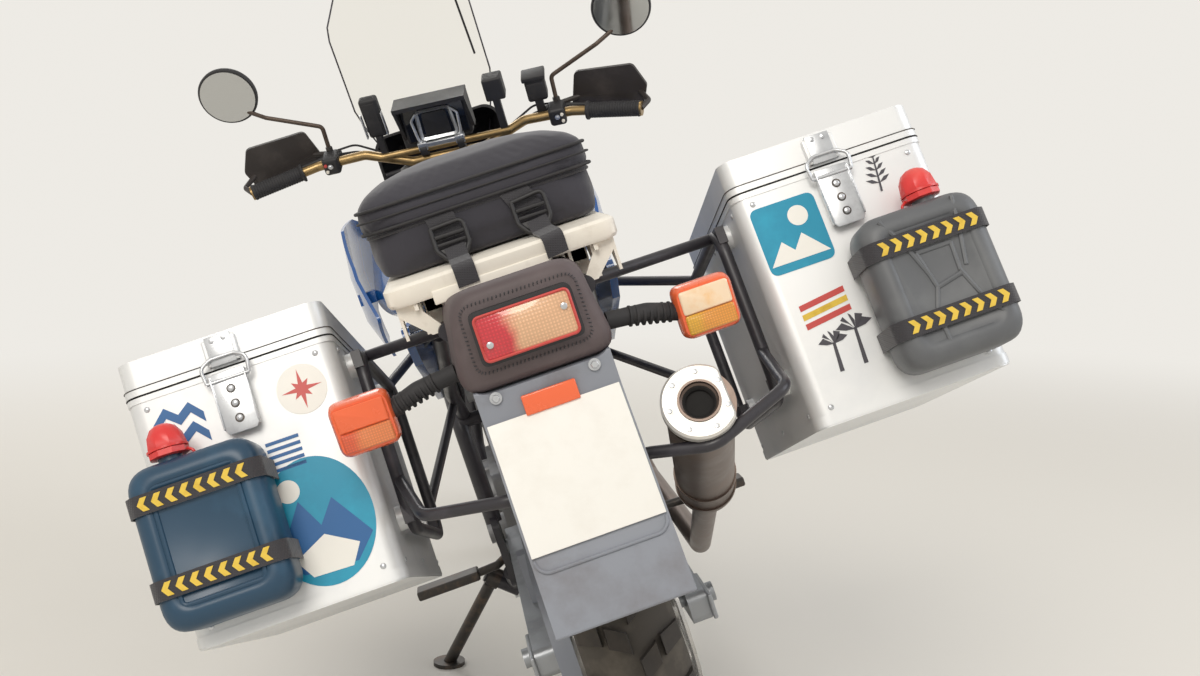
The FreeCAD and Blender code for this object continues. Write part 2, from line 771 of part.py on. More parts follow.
def luggage_bag():
    # y, half width low, half width high, z low, z high, corner radius
    return loft_along([(-150, 163, 160, 945.3, 1048, 24), (20, 166, 162, 945.3, 1086, 30),
                       (200, 164, 158, 945.3, 1080, 26)])


def foot_pegs():
    inner = arm_inner_x + arm_thickness + running_gap + 14
    peg = box(peg_inner_x, peg_inner_x + peg_length, peg_y - peg_width / 2, peg_y + peg_width / 2,
              peg_top - 18, peg_top, 4)
    arm = tube([(inner - 3, peg_y + 12, peg_top - 2), (inner + 14, peg_y + 4, peg_top - 8),
                (peg_inner_x + 6, peg_y, peg_top - 9)], 8, 12)
    piece = join([peg, arm])
    return loose([piece, mirrored(piece)])


# Panniers, in their own frame: X outwards from the inner face, Y forward, Z up, middle of the rear face

def pannier_frame(side):
    turn = FreeCAD.Rotation(vec(1, 0, 0), -pannier_pitch_deg)
    corner = vec(side_sign[side] * pannier_inner_x[side], pannier_rear_y, pannier_centre_z)
    return FreeCAD.Placement(corner, turn)


def on_pannier(solid, side):
    """Carries a piece from the right-hand pannier's frame to its side of the machine."""
    if side == "left":
        solid = mirrored(solid)
    solid = solid.copy()
    solid.Placement = pannier_frame(side).multiply(solid.Placement)
    return solid


def pannier_shell(inset, z0, z1):
    """An upright rounded block, as large as the pannier less an inset on each side."""
    w, n, r = pannier_width, pannier_length, pannier_corner
    points = [(inset, inset, z0), (w - inset, inset, z0), (w - inset, n - inset, z0), (inset, n - inset, z0)]
    return prism(points, (0, 0, z1 - z0), r - inset)


def pannier_seam():
    return pannier_height / 2 - lid_depth


def pannier_body(side):
    half = pannier_height / 2
    seam = pannier_seam()
    shell = pannier_shell(0.0, -half, seam).cut(pannier_shell(pannier_wall, pannier_wall - half, seam + 1))
    pieces = [shell]
    for x in (70.0, pannier_width - 70.0):
        y = pannier_length + hinge_offset
        barrel = cylinder((x - 16, y, seam), (x + 16, y, seam), hinge_radius)
        leaf = box(x - 16, x + 16, pannier_length - 0.5, y, seam - 30, seam - 1)
        pieces += [barrel, leaf]
    lugs = []
    for y in (90.0, pannier_length - 90.0):
        for z in (-110.0, 110.0):
            lugs.append(cylinder((0.5, y, z), (-rack_gap, y, z), 17))
    latch = box(pannier_width / 2 - 22, pannier_width / 2 + 22, -13, 0.5, seam - 84, seam - 6, 3)
    return on_pannier(join(pieces + lugs + [latch]), side)


def pannier_lid(side):
    half = pannier_height / 2
    seam = pannier_seam() + seam_gap
    shell = pannier_shell(0.0, seam, half).cut(pannier_shell(pannier_wall, seam - 1, half - pannier_wall))
    y = pannier_length + hinge_offset
    barrel = cylinder((pannier_width / 2 - 40, y, pannier_seam()),
                      (pannier_width / 2 + 40, y, pannier_seam()), hinge_radius)
    leaf = box(pannier_width / 2 - 40, pannier_width / 2 + 40, pannier_length - 0.5, y,
               pannier_seam() + 1, pannier_seam() + 24)
    hook = box(pannier_width / 2 - 22, pannier_width / 2 + 22, -9, 0.5, seam + 4, half - 8, 2)
    return on_pannier(join([shell, barrel, leaf, hook]), side)


def jerrycan(side):
    shell = box(119, 285, -88, -14, -168, 40, 13)
    spout = cylinder((228, -50, 36), (228, -50, 62), 16)
    cap = cylinder((228, -50, 56), (228, -50, 80), 23)
    back = box(140, 264, -16, -0.3, -150, 20)
    return on_pannier(join([shell, spout, cap, back]), side)


def rack_ring(side):
    x = -rack_gap - rack_tube
    start = [(x, 230, 118), (x, 60, 118), (x, 60, -130), (x, 408, -130), (x, 408, 118), (x, 230, 118)]
    bar = tube(start, rack_tube, 40)
    tabs = []
    for y, edge_y in ((90.0, 60.0), (pannier_length - 90.0, 408.0)):
        for z in (-110.0, 110.0):
            tabs.append(box(x - 4, -rack_gap, min(y, edge_y) - 6, max(y, edge_y) + 6, z - 12, z + 12))
    return on_pannier(join([bar] + tabs), side)


def rack_point(side, y, z):
    """A point of the rack's ring, in the machine's own frame."""
    x = side_sign[side] * (-rack_gap - rack_tube)
    point = pannier_frame(side).multVec(vec(x, y, z))
    return (point.x, point.y, point.z)


def pannier_racks():
    pieces = []
    for side in ("left", "right"):
        sign = side_sign[side]
        pieces.append(rack_ring(side))
        top_rear = rack_point(side, 100, 118)
        top_front = rack_point(side, 370, 118)
        low_front = rack_point(side, 408, -80)
        pieces.append(cylinder(top_rear, (sign * 96, -190, 868), 8))
        pieces.append(cylinder(top_front, (sign * 128, 340, 812), 8))
        pieces.append(cylinder(low_front, (sign * 138, 400, 674), 8))
    left = rack_point("left", 66, -60)
    right = rack_point("right", 66, -60)
    hoop = [left, (-196, -300, 668), (-92, -352, 664), (92, -352, 662), (168, -392, 654),
            (283, -345, 682), right]
    pieces.append(tube(hoop, 8, 30))
    return join(pieces)


# Side stand

def world_up():
    """The direction that is upwards once the machine leans, seen from its own frame."""
    return lean_frame().Rotation.inverted().multVec(vec(0, 0, 1))


def stand_foot():
    """The middle of the foot's underside, on the floor of the leaning machine."""
    up = world_up()
    return vec(stand_foot_x, stand_foot_y, -stand_foot_x * up.x / up.z)


def stand_axis():
    down = (stand_foot() - vec(*stand_pivot)).normalize()
    back = vec(*stand_stowed).normalize()
    return down.cross(back).normalize()


def stand_swing_deg():
    down = (stand_foot() - vec(*stand_pivot)).normalize()
    return degrees(acos(down.dot(vec(*stand_stowed).normalize())))


def side_stand():
    up = world_up()
    foot = stand_foot()
    pad = Part.makeCylinder(stand_foot_radius, stand_foot_thickness, foot, up)
    pivot = vec(*stand_pivot)
    leg_end = foot + up * (stand_foot_thickness / 2)
    leg = Part.makeCylinder(stand_leg_radius, (leg_end - pivot).Length, pivot, leg_end - pivot)
    floor = Part.makeBox(400, 400, 100, foot - vec(200, 200, 100))
    floor.rotate(foot, vec(0, 1, 0), lean_deg)
    axis = stand_axis()
    knuckle = Part.makeCylinder(20, 2 * stand_knuckle_half, pivot - axis * stand_knuckle_half, axis)
    bore = Part.makeCylinder(stand_pin_radius + 0.3, 60, pivot - axis * 30, axis)
    return join([pad, leg, knuckle]).cut(floor).cut(bore)


def stand_bracket():
    """The boss on the frame's lower tube, with the pin and the washer that hold the stand."""
    pivot = vec(*stand_pivot)
    axis = stand_axis()
    play = 0.3
    boss = Part.makeCylinder(16, 44, pivot - axis * (stand_knuckle_half + play + 44), axis)
    pin = Part.makeCylinder(stand_pin_radius, 60, pivot - axis * 42, axis)
    washer = Part.makeCylinder(14, 4, pivot + axis * (stand_knuckle_half + play), axis)
    return join([boss, pin, washer])


# Fork and bar, in the fork's own frame

def front_fork():
    y = fork_lead
    axle_y, axle_z = front_axle.y, front_axle.z
    solids = []
    for side in (-1, 1):
        x = side * fork_half
        solids.append(cylinder((x, y, axle_z + 90), (x, y, fork_top), stanchion_radius))
        solids.append(cylinder((x, y, axle_z - 4), (x, y, axle_z + 376), slider_radius))
        lug = box(x - 20, x + 20, min(y, axle_y) - 22, max(y, axle_y) + 22, axle_z - 24, axle_z + 26, 8)
        solids.append(lug)
        low, high = sorted((side * (front_disc_x - 16), side * (front_disc_x + 22)))
        caliper = box(low, high, -110, -20, axle_z + 64, axle_z + 150, 8)
        disc = side * front_disc_x
        slot = disc_thickness / 2 + 5
        gap = box(disc - slot, disc + slot, -140, 60, axle_z + 40, axle_z + 146)
        arm = box(min(x, side * 84), max(x, side * 84), -60, y, axle_z + 90, axle_z + 120)
        solids.append(join([caliper.cut(gap), arm]))
    solids.append(cylinder((-fork_half, axle_y, axle_z), (fork_half, axle_y, axle_z), axle_radius))
    for height in (low_clamp, high_clamp - clamp_thickness):
        plate = prism([(-130, y - 30, height), (130, y - 30, height), (130, y + 34, height),
                       (60, y + 44, height), (-60, y + 44, height), (-130, y + 34, height)],
                      (0, 0, clamp_thickness), 14)
        yoke = prism([(-60, -38, height), (60, -38, height), (60, y, height), (-60, y, height)],
                     (0, 0, clamp_thickness), 14)
        solids += [plate, yoke]
    return join(solids)


def brace_line():
    """Height and lead of the handlebar's crossbar."""
    return bar_hand[1] + 6, bar_hand[2] - 16


def handlebar():
    cy, cz = bar_centre[1:]
    hx, hy, hz = bar_hand
    ex, ey, ez = bar_end
    half_points = [(86, cy, cz), (190, hy + 10, hz - 2), (hx, hy, hz), (ex, ey, ez)]
    points = mirror_points(half_points[::-1]) + half_points
    bar = tube(points, bar_radius, 34)
    by, bz = brace_line()
    brace = cylinder((-158, by, bz), (158, by, bz), brace_radius)
    grips = []
    for side in (-1, 1):
        start = vec(side * ex, ey, ez)
        way = (vec(side * hx, hy, hz) - start).normalize()
        grips.append(Part.makeCylinder(grip_radius, grip_length, start - way * 4, way))
    risers = [cylinder((s * 42, cy - 8, high_clamp), (s * 42, cy, cz), 17) for s in (-1, 1)]
    return join([bar, brace] + grips + risers)


def hand_guards():
    """A shield ahead of each grip, with its stay on the bar and its end on the bar's end."""
    hx, hy, hz = bar_hand
    ex, ey, ez = bar_end
    guards = []
    for side in (-1, 1):
        outline = [(hx - 6, hz - 38), (ex + 16, hz - 30), (ex + 30, hz + 14), (ex + 6, hz + 68),
                   (hx + 22, hz + 64)]
        shield = prism([(side * x, hy + 66, z) for x, z in outline], (0, 8, 0), 14)
        shield.rotate(vec(side * hx, hy + 66, hz), vec(0, 0, 1), -side * 15)
        stay = tube([(side * (hx - 60), hy + 6, hz), (side * (hx - 34), hy + 50, hz),
                     (side * (hx + 24), hy + 66, hz)], 6, 14)
        end = tube([(side * (ex + 2), ey, ez), (side * (ex + 22), ey + 24, ez + 4),
                    (side * (ex + 4), hy + 34, ez + 6)], 6, 10)
        guards.append(join([shield, stay, end]))
    return loose(guards)


def mirrors():
    hx, hy, hz = bar_hand
    mx, my, mz = mirror_centre
    pieces = []
    for side in (-1, 1):
        stem = tube([(side * (hx - 30), hy + 24, hz + 8), (side * (hx - 30), hy + 40, hz + 76),
                     (side * (mx - 70), my - 16, mz - 62), (side * (mx - 12), my + 12, mz - 40)], 5, 18)
        head = cylinder((side * mx, my, mz), (side * mx, my + 20, mz), mirror_radius)
        head = head.makeFillet(6, [e for e in head.Edges if e.Length > 300])
        pieces.append(join([stem, head]))
    return loose(pieces)


def controls():
    """Switch boxes, levers, the brake's reservoir, and what is clamped to the bar."""
    hx, hy, hz = bar_hand
    by, bz = brace_line()
    pieces = []
    for side in (-1, 1):
        low, high = sorted((side * (hx - 52), side * (hx - 14)))
        switch = box(low, high, hy - 22, hy + 30, hz - 20, hz + 22, 8)
        lever = tube([(side * (hx - 36), hy + 34, hz - 4), (side * (hx - 10), hy + 46, hz - 6),
                      (side * (bar_end[0] - 18), hy + 14, hz - 20)], 6, 12)
        perch = box(low, high, hy + 20, hy + 44, hz - 12, hz + 10, 3)
        pieces.append(join([switch, lever, perch]))
    pieces.append(box(208, 254, hy + 20, hy + 62, hz + 30, hz + 92, 7))
    post = join([box(222, 240, hy + 22, hy + 40, hz - 4, hz + 34),
                 box(236, 266, hy + 22, hy + 40, hz - 4, hz + 8)])
    right_cube = join([box(118, 163, by - 2, by + 40, hz + 62, hz + 116, 5),
                       box(132, 148, by - 2, by + 14, bz + 2, hz + 66)])
    left_box = join([box(-166, -124, by + 6, by + 34, hz + 32, hz + 128, 7),
                     box(-152, -138, by + 2, by + 20, bz + 2, hz + 36)])
    return loose([pieces[0], join([pieces[1], pieces[2], post]), right_cube, left_box])


def bar_navigator():
    """The navigation screen on the handlebar's crossbar: body, hood and clamps."""
    by, bz = brace_line()
    low = bz + 6
    body = box(-86, 70, by + 6, by + 34, low + 6, low + 96, 6)
    hood = side_plate([(by - 26, low + 104), (by + 38, low + 104), (by + 38, low + 110),
                       (by - 26, low + 114)], -92, 76)
    cheek = [(by - 24, low + 106), (by + 34, low + 106), (by + 34, low + 20), (by + 8, low + 20)]
    cheeks = [side_plate(cheek, x, x + 7) for x in (-92, 69)]
    clamps = [ring((x, by, bz), (x + 16, by, bz), brace_radius + 8, brace_radius) for x in (-60, 28)]
    feet = [box(x, x + 16, by + 2, by + 22, bz + brace_radius + 1, low + 10) for x in (-60, 28)]
    return join([body, hood] + cheeks + clamps + feet)


def front_fender():
    outer = front_tyre["radius"] + 26
    y, z = front_axle.y, front_axle.z
    ring_solid = ring((-58, y, z), (58, y, z), outer + 4, outer)
    wedge = prism([(-60, y, z), (-60, y + 560, z + 300), (-60, y + 200, z + 700), (-60, y - 560, z + 420)],
                  (120, 0, 0))
    stays = [box(min(s * 58, s * (fork_half - 10)), max(s * 58, s * (fork_half - 10)),
                 fork_lead - 14, fork_lead + 14, z + outer - 40, z + outer - 14) for s in (-1, 1)]
    side_walls = [ring((s * 58 - 2, y, z), (s * 58 + 2, y, z), outer + 4, outer - 46).common(wedge)
                  for s in (-1, 1)]
    return join([ring_solid.common(wedge)] + side_walls + stays)


# Assembly: which pieces are let into which, and the nodes of the machine and of its steered part

gives_way = {
    "rear_subframe": ["frame"], "exhaust_header": ["engine", "silencer"], "rear_carrier": ["rear_subframe"],
    "pannier_racks": ["rear_subframe", "frame", "rear_carrier"],
    "body_panels": ["rear_subframe", "pannier_racks", "fuel_tank"],
    "tail_housing": ["rear_subframe", "rear_carrier", "pannier_racks", "tail_lamp"],
    "indicators": ["tail_housing"], "shock_absorber": ["frame", "swingarm"],
    "radiator": ["frame", "engine"], "skid_plate": ["frame"], "chain_guard": ["swingarm"],
    "fuel_tank": ["frame"], "plate_carrier": ["tail_housing"], "front_cowl": ["headlight", "frame"],
    "windscreen": ["front_cowl"], "foot_pegs": ["frame"], "handlebar": ["front_fork"],
    "controls": ["handlebar"], "hand_guards": ["handlebar", "controls"],
    "mirrors": ["handlebar", "controls", "hand_guards"], "bar_navigator": ["handlebar", "controls"],
    "front_fender": ["front_fork"], "silencer": ["pannier_racks"],
}


def chassis_nodes():
    nodes = {
        "frame": join([frame(), stand_bracket()]), "rear_subframe": rear_subframe(), "engine": engine(),
        "radiator": radiator(), "skid_plate": skid_plate(), "chain": chain(), "swingarm": swingarm(),
        "shock_absorber": shock_absorber(), "chain_guard": chain_guard(), "exhaust_header": exhaust(),
        "silencer": silencer(), "fuel_tank": fuel_tank(), "seat": seat(), "front_cowl": front_cowl(),
        "body_panels": loose(tank_shrouds() + side_panels()), "headlight": headlight(),
        "windscreen": windscreen(), "instrument_dash": instrument_dash(), "tail_housing": tail_housing(),
        "tail_lamp": tail_lamp(), "indicators": indicators(), "plate_carrier": plate_carrier(),
        "number_plate": number_plate(), "rear_carrier": rear_carrier(), "luggage_bag": luggage_bag(),
        "foot_pegs": foot_pegs(), "pannier_racks": pannier_racks(),
    }
    for side in ("left", "right"):
        nodes[side + "_pannier"] = pannier_body(side)
        nodes[side + "_jerrycan"] = jerrycan(side)
        nodes[side + "_lid"] = pannier_lid(side)
    nodes["side_stand"] = side_stand()
    nodes["rear_rim"] = rear_rim()
    nodes["rear_tyre"] = rear_tyre_solid()
    return nodes


def steered_nodes():
    return {"front_fork": front_fork(), "handlebar": handlebar(), "hand_guards": hand_guards(),
            "mirrors": mirrors(), "controls": controls(), "bar_navigator": bar_navigator(),
            "front_fender": front_fender(), "front_rim": front_rim(), "front_tyre": front_tyre_solid()}


def fitted(nodes):
    """Each piece gives way to those that pass through it or carry it."""
    for name, carriers in gives_way.items():
        for carrier in carriers:
            if name in nodes:
                nodes[name] = without_offcuts(nodes[name], nodes[carrier])
    return nodes


def without_offcuts(piece, carrier):
    """A piece less what passes through it, keeping as many of its solids as it had."""
    count = len(piece.Solids)
    left = sorted(piece.cut(carrier).Solids, key=lambda solid: -solid.Volume)[:count]
    return left[0] if count == 1 else loose(left)


def placed(solid, placement):
    solid = solid.copy()
    solid.Placement = placement.multiply(solid.Placement)
    return solid


def build():
    lean = lean_frame()
    steered = lean.multiply(steer_frame())
    nodes = {name: placed(solid, lean) for name, solid in fitted(chassis_nodes()).items()}
    nodes.update({name: placed(solid, steered) for name, solid in fitted(steered_nodes()).items()})
    box_all = Part.makeCompound(list(nodes.values())).BoundBox
    shift = vec(-(box_all.XMin + box_all.XMax) / 2, -(box_all.YMin + box_all.YMax) / 2, 0)
    stand_down = FreeCAD.Placement(shift, FreeCAD.Rotation())
    return {name: placed(solid, stand_down) for name, solid in nodes.items()}, stand_down


os.makedirs("parts", exist_ok=True)
nodes, stand_down = build()
for name, shape in nodes.items():
    shape.exportStep("parts/" + name + ".step")
    print(name, len(shape.Solids), round(shape.Volume / 1000.0), "cm3", shape.isValid())
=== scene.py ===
import json
from math import acos, atan2, cos, pi, radians, sin, sqrt, tan

import bmesh
import bpy
from mathutils import Matrix, Vector


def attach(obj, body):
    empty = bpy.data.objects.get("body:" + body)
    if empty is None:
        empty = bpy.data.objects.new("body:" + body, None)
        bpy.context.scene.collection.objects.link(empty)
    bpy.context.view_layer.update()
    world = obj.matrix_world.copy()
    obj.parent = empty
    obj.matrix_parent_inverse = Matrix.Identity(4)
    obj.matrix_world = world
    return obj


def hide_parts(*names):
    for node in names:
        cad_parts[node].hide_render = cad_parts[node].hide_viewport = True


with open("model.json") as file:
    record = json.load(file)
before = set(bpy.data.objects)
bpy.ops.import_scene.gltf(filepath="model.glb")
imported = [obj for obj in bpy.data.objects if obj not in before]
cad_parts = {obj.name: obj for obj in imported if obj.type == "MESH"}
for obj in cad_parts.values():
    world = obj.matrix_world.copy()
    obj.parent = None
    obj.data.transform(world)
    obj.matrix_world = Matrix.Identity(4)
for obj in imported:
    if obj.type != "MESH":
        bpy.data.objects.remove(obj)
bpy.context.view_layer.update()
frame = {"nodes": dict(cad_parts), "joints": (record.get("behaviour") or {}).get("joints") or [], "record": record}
nodes = frame["nodes"]
print("frame loaded:", len(nodes), "nodes")


# Frames in millimetres: X to the machine's right, Y forward, Z up along the leaning machine.
# The fork's frame has Z along the steering axis and Y ahead of it.

joints = {joint["name"]: joint for joint in frame["joints"]}


def jointAt(name):
    return Vector(joints[name]["pos_m"]), Vector(joints[name]["axis"]).normalized()


def frameOf(right, up, origin):
    turn = Matrix((right, up.cross(right), up)).transposed().to_4x4()
    return Matrix.Translation(origin) @ turn @ Matrix.Scale(0.001, 4)


rearAxle, bikeRight = jointAt("rear_wheel_spin")
bikeUp = bikeRight.cross(Vector((0, 1, 0))).normalized()
bikeOrigin = rearAxle - bikeUp * (rearAxle.z / bikeUp.z)
bike = frameOf(bikeRight, bikeUp, bikeOrigin)

frontAxle, forkRight = jointAt("front_wheel_spin")
steeringPoint, forkUp = jointAt("steering_pivot")
alongFork = (steeringPoint - bikeOrigin).dot(bikeUp) / forkUp.dot(bikeUp)
forkOrigin = steeringPoint - forkUp * alongFork
fork = frameOf(forkRight, forkUp, forkOrigin)

# where each pannier's inner rear edge is, and its slope
panniers = {"pitch": -18.5, "left": (-241.0, -217.0, 775.0), "right": (321.0, -217.0, 775.0)}


def pannierFrame(side):
    # X outwards from the inner face, so the left one is mirrored
    flip = Matrix.Scale(-1 if side == "left" else 1, 4, (1, 0, 0))
    pitch = Matrix.Rotation(radians(panniers["pitch"]), 4, "X")
    return bike @ Matrix.Translation(panniers[side]) @ pitch @ flip


# Nodes and finishes

def linear(hexColour):
    values = [int(hexColour[i:i + 2], 16) / 255 for i in (1, 3, 5)]
    return [v / 12.92 if v <= 0.04045 else ((v + 0.055) / 1.055) ** 2.4 for v in values] + [1.0]


def addNode(tree, kind, settings=None, inputs=None):
    node = tree.nodes.new(kind)
    for name, value in (settings or {}).items():
        setattr(node, name, value)
    for name, value in (inputs or {}).items():
        if isinstance(value, bpy.types.NodeSocket):
            tree.links.new(value, node.inputs[name])
        else:
            node.inputs[name].default_value = value
    return node


def freshMaterial(name):
    material = bpy.data.materials.new(name)
    material.use_nodes = True
    material.node_tree.nodes.clear()
    return material, material.node_tree


def surface(name, colour, roughness, metallic=0.0, grain=1.0, depth=0.02, patch=70.0, wander=0.07,
        worn=None, wornShare=0.5, stretch=(1, 1, 1), sockets=None):
    # grain and patch are sizes in millimetres, depth is the grain's height in millimetres
    material, tree = freshMaterial(name)
    where = addNode(tree, "ShaderNodeTexCoord")
    turned = addNode(tree, "ShaderNodeMapping", inputs={"Vector": where.outputs["Object"],
        "Scale": stretch})
    fine = addNode(tree, "ShaderNodeTexNoise", inputs={"Vector": turned.outputs[0],
        "Scale": 1000 / grain, "Detail": 3.0})
    broad = addNode(tree, "ShaderNodeTexNoise", inputs={"Vector": where.outputs["Object"],
        "Scale": 1000 / patch, "Detail": 5.0, "Roughness": 0.6})
    bump = addNode(tree, "ShaderNodeBump", inputs={"Height": fine.outputs[0], "Strength": 0.6,
        "Distance": depth / 1000})
    dull = addNode(tree, "ShaderNodeMapRange", inputs={"Value": broad.outputs[0], "From Min": 0.3,
        "From Max": 0.7, "To Min": roughness - wander, "To Max": roughness + wander})
    shader = addNode(tree, "ShaderNodeBsdfPrincipled",
        inputs={"Metallic": metallic, "Roughness": dull.outputs[0], "Normal": bump.outputs[0],
        **(sockets or {})})
    if worn:
        edge = addNode(tree, "ShaderNodeMapRange", inputs={"Value": broad.outputs[0],
            "From Min": wornShare, "From Max": wornShare + 0.22})
        blend = addNode(tree, "ShaderNodeMix", {"data_type": "RGBA"},
            {0: edge.outputs[0], 6: linear(colour), 7: linear(worn)})
        tree.links.new(blend.outputs[2], shader.inputs["Base Color"])
    else:
        shader.inputs["Base Color"].default_value = linear(colour)
    out = addNode(tree, "ShaderNodeOutputMaterial", inputs={"Surface": shader.outputs[0]})
    out.is_active_output = True
    return material


# Rolled aluminium sheet with a soft satin, faint handling marks along the sheet
sheetAluminium = surface("satinRolledAluminium", "#e3e4e4", 0.46, 0.4, grain=1.6, depth=0.02,
    patch=160, wander=0.04, worn="#d8dadc", wornShare=0.5, stretch=(1, 1, 6))
# Pressed and tumbled steel of latches, tabs and rivets: brighter and smoother than the sheet
latchSteel = surface("pressedZincSteel", "#c6c8cb", 0.3, 0.75, grain=2, depth=0.01, patch=25,
    wander=0.05, worn="#aeb0b3")
# Blow-moulded polyethylene: waxy, with a soft broad shine
bluePolyethylene = surface("blueBlowMouldedPolyethylene", "#22425a", 0.38, grain=0.8, depth=0.03,
    patch=90, worn="#2d536e")
greyPolyethylene = surface("greyBlowMouldedPolyethylene", "#5f6164", 0.46, grain=0.8, depth=0.03,
    patch=90, worn="#6d6f71")
redPolyethylene = surface("redMouldedPolyethylene", "#dc3a38", 0.35, grain=0.8, depth=0.02,
    worn="#e65a52", sockets={"Subsurface Weight": 0.1})
# Fine spark-eroded grain of exterior ABS, sun-bleached to a brown grey in patches
tailPlastic = surface("sunBleachedGrainedAbs", "#54494a", 0.62, grain=0.7, depth=0.08, patch=80,
    worn="#615657", wornShare=0.45)
blackPlastic = surface("blackGrainedAbs", "#232224", 0.55, grain=0.7, depth=0.06, patch=60,
    worn="#2d2c2e")
greyPlastic = surface("pressedGreyPolypropylene", "#868a93", 0.5, grain=0.9, depth=0.03, patch=80,
    worn="#78777c")
# Gloss enamel under lacquer, with a slight orange peel
blueEnamel = surface("blueGlossEnamel", "#17559a", 0.22, grain=6, depth=0.01, patch=200,
    wander=0.03, sockets={"Coat Weight": 0.6, "Coat Roughness": 0.08})
# Powder coat: satin, with fine pimples
blackPowder = surface("blackPowderCoat", "#2e2c31", 0.38, grain=1.2, depth=0.03, patch=60,
    worn="#454248", wornShare=0.54)
creamCasting = surface("creamPaintedCasting", "#f1ebdf", 0.5, grain=2.4, depth=0.06, patch=40,
    worn="#d9d0c2", wornShare=0.58)
castAlloy = surface("sandCastAluminium", "#9b9b9c", 0.46, 0.7, grain=1.5, depth=0.08, patch=120,
    wander=0.05, worn="#858587")
machinedAlloy = surface("machinedAluminium", "#c4c3c1", 0.28, 0.9, grain=0.9, depth=0.01, patch=40)
silverArm = surface("silverPaintedAlloy", "#9fa2a6", 0.4, 0.55, grain=1.2, depth=0.02, patch=90,
    worn="#85888c")
goldAnodised = surface("goldAnodisedTube", "#9a8158", 0.34, 0.8, grain=0.8, depth=0.01, patch=40,
    worn="#6f5b3c", wornShare=0.52)
# Bronze powder on the mirrors' stems, rubbed at the bends
bronzePowder = surface("bronzePowderCoat", "#4b3f37", 0.4, 0.5, grain=1.0, depth=0.02, patch=50,
    worn="#5d5046")
# Oiled dark steel; also painted shade: rings under the latch rivets and the line at the lids' rims
darkSteelAndShade = surface("oiledDarkSteelAndPaintedShade", "#4a4745", 0.42, 0.8, grain=0.8, depth=0.03, patch=30,
    worn="#6b5c50")
heatSteel = surface("heatTintedStainless", "#6b5d55", 0.4, 0.75, grain=0.9, depth=0.02, patch=60,
    worn="#7f6f66")
paleSteel = surface("beadBlastedStainless", "#d9d6d0", 0.42, 0.45, grain=0.6, depth=0.02,
    patch=40, worn="#c4c0ba")
blackRubber = surface("blackRubber", "#262527", 0.7, grain=1.0, depth=0.05, patch=30,
    worn="#353334")
tyreRubber = surface("scuffedTreadRubber", "#37332f", 0.82, grain=1.2, depth=0.08, patch=60,
    wander=0.05, worn="#47413b", wornShare=0.5)
# Fine road dust lies in the channels between the lugs and on the walls
dustyRubber = surface("dustFilledRubber", "#4d4842", 0.88, grain=1.2, depth=0.08, patch=90,
    wander=0.05, worn="#6f685e", wornShare=0.48)
# Near black: real soot inside the silencer, and painted shade in the gap under the panniers' lids
sootAndSeamShade = surface("sootedSteelAndSeamShade", "#1a1817", 0.8, 0.2, grain=1, depth=0.05)
blankPaint = surface("blankPlateEnamel", "#e9e7e1", 0.35, grain=4, depth=0.01, patch=60,
    worn="#e4e1da")
yellowThread = surface("yellowWovenThread", "#e2c04a", 0.7, grain=0.9, depth=0.08, patch=20,
    worn="#cfa93a")
seatVinyl = surface("grainedSeatVinyl", "#1f1f22", 0.55, grain=1.4, depth=0.12, patch=120,
    worn="#29292c")
tealVinyl = surface("tealPrintedVinyl", "#178fb0", 0.38, grain=3, depth=0.01, patch=60,
    worn="#1f9dbd")
deepBlueVinyl = surface("deepBluePrintedVinyl", "#1f5f9a", 0.38, grain=3, depth=0.01, patch=60)
whiteVinyl = surface("whitePrintedVinyl", "#f1efe8", 0.4, grain=3, depth=0.01, patch=60)
charcoalVinyl = surface("charcoalPrintedVinyl", "#45434a", 0.45, grain=3, depth=0.01, patch=60)
redVinyl = surface("redPrintedVinyl", "#c64a45", 0.4, grain=3, depth=0.01, patch=60)
mirrorGlass = surface("silveredMirrorGlass", "#c9cbcb", 0.05, 1.0, grain=6, depth=0.0, patch=60,
    wander=0.02)
# Amber acrylic of a lamp's upper half, painted pale cream as a painted highlight
amberWithPaintedHighlight = surface("amberAcrylicWithPaintedHighlight", "#f6dcbc", 0.2, grain=4, depth=0.25, patch=30,
    worn="#f3c792", sockets={"Coat Weight": 0.5})
orangeLens = surface("orangeMouldedAcrylic", "#ee6a3c", 0.25, grain=5, depth=0.2, patch=30,
    sockets={"Coat Weight": 0.4})
clearLens = surface("clearFlutedGlass", "#e4e8ea", 0.08, grain=12, depth=0.2, patch=60,
    wander=0.02, sockets={"Transmission Weight": 0.7, "IOR": 1.5})
clearScreen = surface("clearPolycarbonate", "#fbfaf6", 0.06, grain=20, depth=0.0, patch=200,
    wander=0.02, sockets={"Transmission Weight": 1.0, "IOR": 1.08, "Specular IOR Level": 0.3})
darkGlass = surface("darkDisplayGlass", "#1b1c20", 0.12, grain=20, depth=0.0, patch=200,
    wander=0.02)


